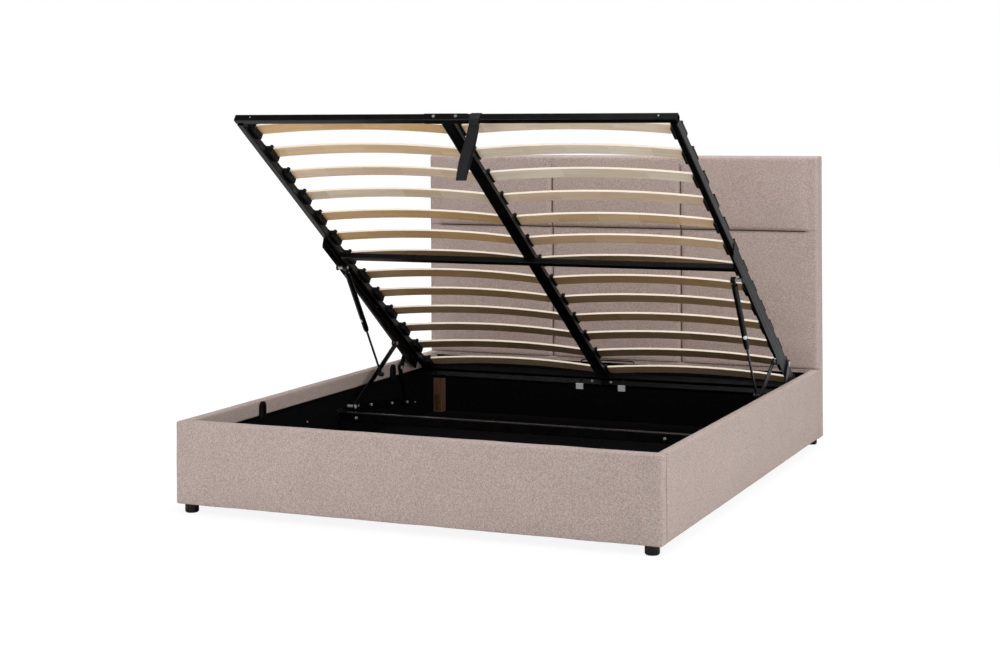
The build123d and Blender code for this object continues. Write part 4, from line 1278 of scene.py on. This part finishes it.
@dataclass
class Hardware:
    """Steel, plastic and timber nodes that keep their CAD shape."""

    slats: tuple[tuple[Tone, Tone], ...] = (
        (Tone.TAN, Tone.CREAM), (Tone.HONEY, Tone.PALE), (Tone.ROSE, Tone.PALE), (Tone.CREAM, Tone.ROSE),
        (Tone.TAN, Tone.HONEY), (Tone.TAN, Tone.HONEY), (Tone.AMBER, Tone.AMBER),
        (Tone.AMBER, Tone.AMBER), (Tone.AMBER, Tone.UMBER), (Tone.UMBER, Tone.AMBER),
        (Tone.UMBER, Tone.UMBER), (Tone.UMBER, Tone.UMBER), (Tone.HONEY, Tone.HONEY))
    steel: tuple[str, ...] = ("tube_sleeve", "cross_tubes", "centre_beam", "rear_tube_right", "mattress_bar")
    steel_pairs: tuple[str, ...] = (
        "base_bar", "foot_tube", "side_tube", "front_link", "rear_link", "strut_cylinder")
    smooth: PowderCoat = PowderCoat(
        "smooth powder coat", roughness=0.28, shine=0.75, rounding=0.0032, strength=0.05)
    black: Moulding = Moulding("black moulding", (0.0045, 0.0040, 0.0045), 0.5)
    glossy: Moulding = Moulding("glossy foot plastic", (0.006, 0.006, 0.007), 0.16, 300.0)
    white: Moulding = Moulding("white moulding", (0.60, 0.60, 0.59), 0.35)
    # Both are the same zinc plating: the paler, less metallic copy paints a highlight on the base bolts, and
    # the darker copy paints shade on the platform bolts.
    zinc: BareMetal = BareMetal("zinc plating", (0.90, 0.90, 0.91), (0.66, 0.66, 0.68), 0.30, 0.5)
    dull_zinc: BareMetal = BareMetal("dull zinc plating", (0.62, 0.62, 0.64), (0.36, 0.36, 0.38), 0.30, 0.8)
    hardened: BareMetal = BareMetal("hardened rod", (0.10, 0.10, 0.11), (0.05, 0.05, 0.055), 0.25, 0.9)
    yellow_zinc: BareMetal = BareMetal("yellow zinc", (0.80, 0.60, 0.22), (0.62, 0.42, 0.14), 0.35)
    post: SawnTimber = SawnTimber("sawn post", (0.25, 0.125, 0.062), (0.115, 0.050, 0.022), grain_axis=2)
    board: SawnTimber = SawnTimber("board timber", (0.56, 0.40, 0.24), (0.42, 0.28, 0.15), grain_axis=1)

    def both(self, *stems: str) -> list[str]:
        """Names of the left and the right node of each pair."""
        return [f"{stem}_{side.word}" for stem in stems for side in Side]

    def build(self) -> None:
        """Dresses every kept CAD node."""
        PowderCoat().dress(*self.both(*self.steel_pairs), *self.steel)
        self.smooth.dress("tie_bar", "rear_tube_left")
        BeadedCoat().dress(*self.both("lift_arm"))
        self.black.dress("rail_guides", *self.both("slat_caps"), "slat_caps_centre", "anchor_ties")
        self.glossy.dress("feet")
        self.white.dress("anchor_clips")
        self.zinc.dress("base_bolts")
        self.dull_zinc.dress("platform_bolts")
        self.hardened.dress(*self.both("strut_rod"))
        self.yellow_zinc.dress("corner_brackets")
        self.post.dress("corner_posts")
        self.board.dress("headboard_frame", *self.both("side_rail"), "footboard", "floor_bearers")
        Fleece("covered floor").dress("floor_panels")
        for row, (left, right) in enumerate(self.slats, 1):
            Birch(row, left, right).dress(f"slat_row_{row:02d}")


@dataclass(frozen=True)
class Lamp:
    """Square soft lamp that faces a point and that the camera doesn't see."""

    name: str
    place: Triple
    aim: Triple
    size: float
    power: float

    def build(self) -> None:
        """Adds the lamp."""
        data = bpy.data.lights.new(self.name, "AREA")
        data.size, data.energy = self.size, self.power
        lamp = bpy.data.objects.new(self.name, data)
        lamp.location = self.place
        lamp.rotation_euler = (Vector(self.aim) - Vector(self.place)).to_track_quat("-Z", "Y").to_euler()
        lamp.visible_camera = False
        bpy.context.scene.collection.objects.link(lamp)


@dataclass
class Studio:
    """Floor, backdrop light, lamps and camera."""

    lens: float = 66.84
    sensor: float = 36.0
    place: Triple = (2.6178, -6.4327, 1.3449)
    yaw: float = 0.4014
    pitch: float = 0.0027
    roll: float = -0.0044
    shift_y: float = -0.2234
    sight: float = 100.0
    floor_half: float = 40.0
    floor_tone: float = 0.82
    floor_seen: float = 0.14
    floor_glow: float = 0.90
    floor_fade: Pair = (2.4, 5.5)
    world_strength: float = 0.55
    ceiling: float = 0.14
    backdrop: float = 0.95
    backdrop_start: Pair = (-0.2, 0.5)
    backdrop_top: Pair = (0.15, 0.7)
    backdrop_side: Pair = (0.1, 0.45)
    lamps: tuple[Lamp, ...] = (
        Lamp("side lamp", (5.4, -1.2, 1.8), (0.0, 0.0, 0.4), 2.4, 82.0),
        Lamp("front lamp", (0.5, -3.5, 4.5), (0.0, 0.0, 0.4), 2.4, 35.0),
        Lamp("top lamp", (0.4, 0.2, 4.6), (0.2, 0.0, 0.0), 2.4, 88.0),
        Lamp("low lamp", (-1.0, -3.0, 0.06), (0.2, -0.4, 2.0), 1.2, 26.0),
    )

    def camera(self) -> None:
        """Sets the camera from its turn about the upright, its pitch and its roll."""
        right = Vector((math.cos(self.yaw), math.sin(self.yaw), 0))
        ahead = Vector((-math.sin(self.yaw) * math.cos(self.pitch), math.cos(self.yaw) * math.cos(self.pitch),
                        math.sin(self.pitch)))
        up = right.cross(ahead)
        rolled_right = right * math.cos(self.roll) + up * math.sin(self.roll)
        rolled_up = up * math.cos(self.roll) - right * math.sin(self.roll)
        data = bpy.data.cameras.new("camera")
        data.lens, data.sensor_width, data.shift_y = self.lens, self.sensor, self.shift_y
        data.clip_end = self.sight
        camera = bpy.data.objects.new("camera", data)
        turn = Matrix((rolled_right, rolled_up, -ahead)).transposed().to_4x4()
        camera.matrix_world = Matrix.Translation(self.place) @ turn
        bpy.context.scene.collection.objects.link(camera)
        bpy.context.scene.camera = camera

    def floor(self) -> None:
        """Lays a large floor that looks white to the camera and keeps a pale shadow near the bed."""
        half = self.floor_half
        corner_points = [(-half, -half, 0), (half, -half, 0), (half, half, 0), (-half, half, 0)]
        mesh = bpy.data.meshes.new("floor")
        mesh.from_pydata(corner_points, [], [(0, 1, 2, 3)])
        shade = Shade("floor")
        seen = shade.node("ShaderNodeLightPath", output="Is Camera Ray")
        away = shade.node("ShaderNodeVectorMath", {0: shade.place()}, "Value", operation="LENGTH")
        plain, shadowed = (shade.node("ShaderNodeBsdfDiffuse", {"Color": (tone, tone, tone, 1.0)})
                           for tone in (self.floor_tone, self.floor_seen))
        white = shade.mix(away.step(*self.floor_fade), (self.floor_glow,) * 3, (1.0, 1.0, 1.0))
        glow = shade.node("ShaderNodeEmission", {"Color": white})
        bright = shade.node("ShaderNodeAddShader", {0: shadowed, 1: glow})
        mesh.materials.append(shade.ended(shade.node("ShaderNodeMixShader", {0: seen, 1: plain, 2: bright})))
        floor = bpy.data.objects.new("floor", mesh)
        bpy.context.scene.collection.objects.link(floor)

    def world(self) -> None:
        """Makes the surroundings white to the camera and softer as light.

        In reflections they are white only behind the bed and to its left, as a studio with one
        white backdrop is.
        """
        shade = Shade("studio", world=True)
        camera, glossy = (shade.node("ShaderNodeLightPath", output=f"Is {ray} Ray")
                          for ray in ("Camera", "Glossy"))
        direction = shade.place("Generated")
        back = shade.along(direction, Y).step(*self.backdrop_start)
        low = 1.0 - shade.along(direction, Z).step(*self.backdrop_top)
        beside = 1.0 - shade.along(direction, X).step(*self.backdrop_side)
        mirrored = shade.mix(back * low * beside, (self.ceiling,) * 3, (self.backdrop,) * 3)
        light = shade.mix(glossy, (self.world_strength,) * 3, mirrored)
        colour = shade.mix(camera, light, (1.0, 1.0, 1.0))
        background = shade.node("ShaderNodeBackground", {"Color": colour})
        bpy.context.scene.world = shade.ended(background, "ShaderNodeOutputWorld")

    def build(self) -> None:
        """Sets up everything that isn't part of the bed."""
        bpy.context.scene.view_settings.view_transform = "Standard"
        self.camera()
        self.floor()
        self.world()
        for lamp in self.lamps:
            lamp.build()


def main() -> None:
    """Builds the studio and dresses the bed."""
    logging.basicConfig(level=logging.INFO, format="%(message)s")
    Studio().build()
    cloth = Weave().material()
    Headboard(cloth).build()
    BoxCovers(cloth).build()
    Lining(Fleece().material()).build()
    PullStrap(Webbing().material()).build()
    StrutStickers(Moulding("plain sticker", (0.80, 0.81, 0.84), 0.4).material()).build()
    Hardware().build()


if __name__ == "__main__":
    main()
